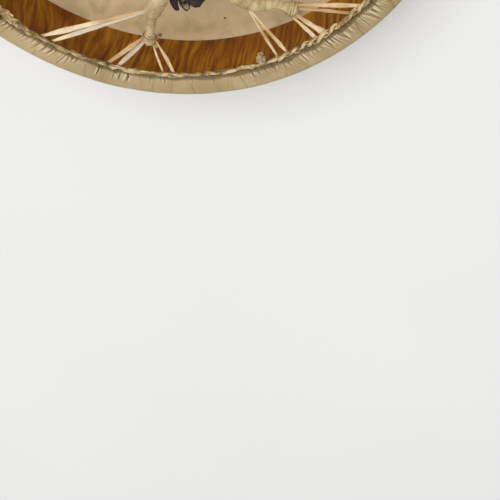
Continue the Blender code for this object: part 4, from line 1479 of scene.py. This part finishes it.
class DRUM_OT_edge_lacing(bpy.types.Operator):
    """Make the rawhide lacing along the hide's edge"""

    bl_idname = "drum.edge_lacing"
    bl_label = "Edge lacing"

    def execute(self, context):
        settings = context.scene.drum_lace
        rawhide = dried_rawhide("rawhide lace, whipped and dried", settings)
        # The strand under the stitches is painted dark, as the shade in the gaps between them
        under = dried_rawhide("rawhide lace, dirty underside", settings)
        lacing_shape(settings).build("edge_lacing", [rawhide, under], "edge_lace", "rawhide")
        return {"FINISHED"}


class DRUM_OT_lace_pairs(bpy.types.Operator):
    """Make the pairs of flat laces between the rim and the hand hold"""

    bl_idname = "drum.lace_pairs"
    bl_label = "Lace pairs"

    def execute(self, context):
        settings = context.scene.drum_lace
        rawhide = dried_rawhide("rawhide strip, cut and dried", settings)
        flesh = dried_rawhide("rawhide strip, flesh side up", settings)
        dice = random.Random(SEEDS["pairs"])
        for number, (ends, degrees) in enumerate(pair_places(all_arms()), start=1):
            legs = leg_forms(number, settings.lace_width, dice)
            shape = pair_shape(ends, degrees, legs, dice)
            shape.build(f"rawhide_pair_{number:02d}", [rawhide, flesh], f"lace_pair_{number:02d}", "rawhide")
        return {"FINISHED"}


class DRUM_OT_hand_hold(bpy.types.Operator):
    """Make the wound rawhide cross that the hand holds"""

    bl_idname = "drum.hand_hold"
    bl_label = "Hand hold"

    def execute(self, context):
        settings = context.scene.drum_lace
        rawhide = dried_rawhide("rawhide strip, wound wet and dried", settings)
        cross_shape(settings, all_arms()).build("wound_cross", [rawhide], "rawhide_cross", "rawhide")
        return {"FINISHED"}


class DRUM_OT_leather_grip(bpy.types.Operator):
    """Make the dark leather bound round the middle of the hand hold"""

    bl_idname = "drum.leather_grip"
    bl_label = "Leather grip"

    def execute(self, context):
        settings = context.scene.drum_leather
        leather = dyed_leather("leather binding, dyed dark", settings.light, settings.dark, 0.42)
        grip_shape(all_arms()).build("bound_grip", [leather], "leather_grip", "dark_leather")
        return {"FINISHED"}


class DRUM_OT_leather_tie(bpy.types.Operator):
    """Make the leather thong with its three tails"""

    bl_idname = "drum.leather_tie"
    bl_label = "Leather tie"

    def execute(self, context):
        settings = context.scene.drum_leather
        leather = dyed_leather("leather thong, dyed dark", settings.light, settings.dark, 0.40)
        flesh = dyed_leather("leather thong, flesh side", settings.flesh, settings.dark, 0.70, 260.0)
        tie_shape(all_arms()[0]).build("thong_tie", [leather, flesh], "leather_tie", "dark_leather")
        return {"FINISHED"}


class DRUM_OT_rim_knot(bpy.types.Operator):
    """Make the rolled rawhide button at the rim"""

    bl_idname = "drum.rim_knot"
    bl_label = "Rim button"

    def execute(self, context):
        rawhide = dried_rawhide("rawhide strip, rolled into a button", context.scene.drum_lace)
        knot_shape().build("rolled_button", [rawhide], "rim_knot", "rawhide")
        return {"FINISHED"}


class DRUM_OT_stage(bpy.types.Operator):
    """Make the floor, the soft studio light and the camera"""

    bl_idname = "drum.stage"
    bl_label = "Stage"

    def execute(self, context):
        settings = context.scene.drum_stage
        make_floor(settings)
        make_lights(settings)
        make_camera()
        return {"FINISHED"}


def make_floor(settings):
    """A plain matt floor just under the drum."""
    mesh = bpy.data.meshes.new("floor")
    corners = [(x * FLOOR_HALF, y * FLOOR_HALF, FLOOR_Z) for x, y in ((-1, -1), (1, -1), (1, 1), (-1, 1))]
    mesh.from_pydata(corners, [], [(0, 1, 2, 3)])
    made, tree, shader = new_material("painted board, matt", IOR=1.45, Roughness=0.7)
    # Paint that is uneven by a shade over some 300 mm
    place = node(tree, "ShaderNodeTexCoord").outputs["Object"]
    cloud = node(tree, "ShaderNodeTexNoise", {"Vector": place, "Scale": 3.0, "Detail": 1.0}).outputs[0]
    shade = node(tree, "ShaderNodeMapRange", {0: cloud, 1: 0.3, 2: 0.7, 3: 0.98, 4: 1.0}).outputs[0]
    tones = {0: 1.0, 6: settings.floor, 7: shade}
    colour = node(tree, "ShaderNodeMix", tones, data_type="RGBA", blend_type="MULTIPLY").outputs[2]
    tree.links.new(colour, shader.inputs["Base Color"])
    mesh.materials.append(made)
    floor = bpy.data.objects.new("floor", mesh)
    bpy.context.scene.collection.objects.link(floor)


def make_lights(settings):
    """A large soft light from one side and an even white surrounding."""
    world = bpy.data.worlds.new("studio")
    bpy.context.scene.world = world
    world.use_nodes = True
    sky = world.node_tree.nodes["Background"]
    sky.inputs["Color"].default_value = (1.0, 1.0, 1.0, 1.0)
    sky.inputs["Strength"].default_value = settings.sky
    light = bpy.data.lights.new("key", "AREA")
    light.energy = settings.key_power
    light.size = KEY_SIZE
    key = bpy.data.objects.new("key", light)
    key.location = KEY_PLACE
    aim = Vector(KEY_AIM) - key.location
    key.rotation_mode = "QUATERNION"
    key.rotation_quaternion = aim.to_track_quat("-Z", "Y")
    bpy.context.scene.collection.objects.link(key)


def make_camera():
    """The camera at the photograph's own angle to the drum."""
    bpy.context.scene.view_settings.view_transform = "Standard"
    data = bpy.data.cameras.new("camera")
    data.sensor_width = 36.0
    data.lens = CAMERA_LENS
    camera = bpy.data.objects.new("camera", data)
    camera.location = CAMERA_PLACE
    camera.rotation_euler = [math.radians(turn) for turn in CAMERA_TURNS]
    bpy.context.scene.collection.objects.link(camera)
    bpy.context.scene.camera = camera


PIECE_OPERATORS = (
    DRUM_OT_hide,
    DRUM_OT_hoop,
    DRUM_OT_edge_lacing,
    DRUM_OT_lace_pairs,
    DRUM_OT_hand_hold,
    DRUM_OT_leather_grip,
    DRUM_OT_leather_tie,
    DRUM_OT_rim_knot,
    DRUM_OT_stage,
)

SETTINGS = {
    "drum_hide": HideSettings,
    "drum_hoop": HoopSettings,
    "drum_lace": LaceSettings,
    "drum_leather": LeatherSettings,
    "drum_stage": StageSettings,
}


class DRUM_PT_panel(bpy.types.Panel):
    """Settings and pieces of the drum."""

    bl_idname = "DRUM_PT_panel"
    bl_label = "Laced Frame Drum"
    bl_space_type = "VIEW_3D"
    bl_region_type = "UI"
    bl_category = "Drum"

    def draw(self, context):
        for name, group in SETTINGS.items():
            box = self.layout.box()
            box.label(text=group.__doc__)
            for setting in group.__annotations__:
                box.prop(getattr(context.scene, name), setting)
        for operator in PIECE_OPERATORS:
            self.layout.operator(operator.bl_idname)


CLASSES = (*SETTINGS.values(), *PIECE_OPERATORS, DRUM_PT_panel)


def register():
    """Register the classes and hang the settings on the scene."""
    for made in CLASSES:
        bpy.utils.register_class(made)
    for name, group in SETTINGS.items():
        setattr(bpy.types.Scene, name, bpy.props.PointerProperty(type=group))


def unregister():
    """Take the settings off the scene and unregister the classes."""
    for name in SETTINGS:
        delattr(bpy.types.Scene, name)
    for made in reversed(CLASSES):
        bpy.utils.unregister_class(made)


def main():
    """Make every piece and the stage."""
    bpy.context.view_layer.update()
    register()
    bpy.ops.drum.hide()
    bpy.ops.drum.hoop()
    bpy.ops.drum.edge_lacing()
    bpy.ops.drum.lace_pairs()
    bpy.ops.drum.hand_hold()
    bpy.ops.drum.leather_grip()
    bpy.ops.drum.leather_tie()
    bpy.ops.drum.rim_knot()
    bpy.ops.drum.stage()
    bpy.context.view_layer.update()


if __name__ == "__main__":
    main()
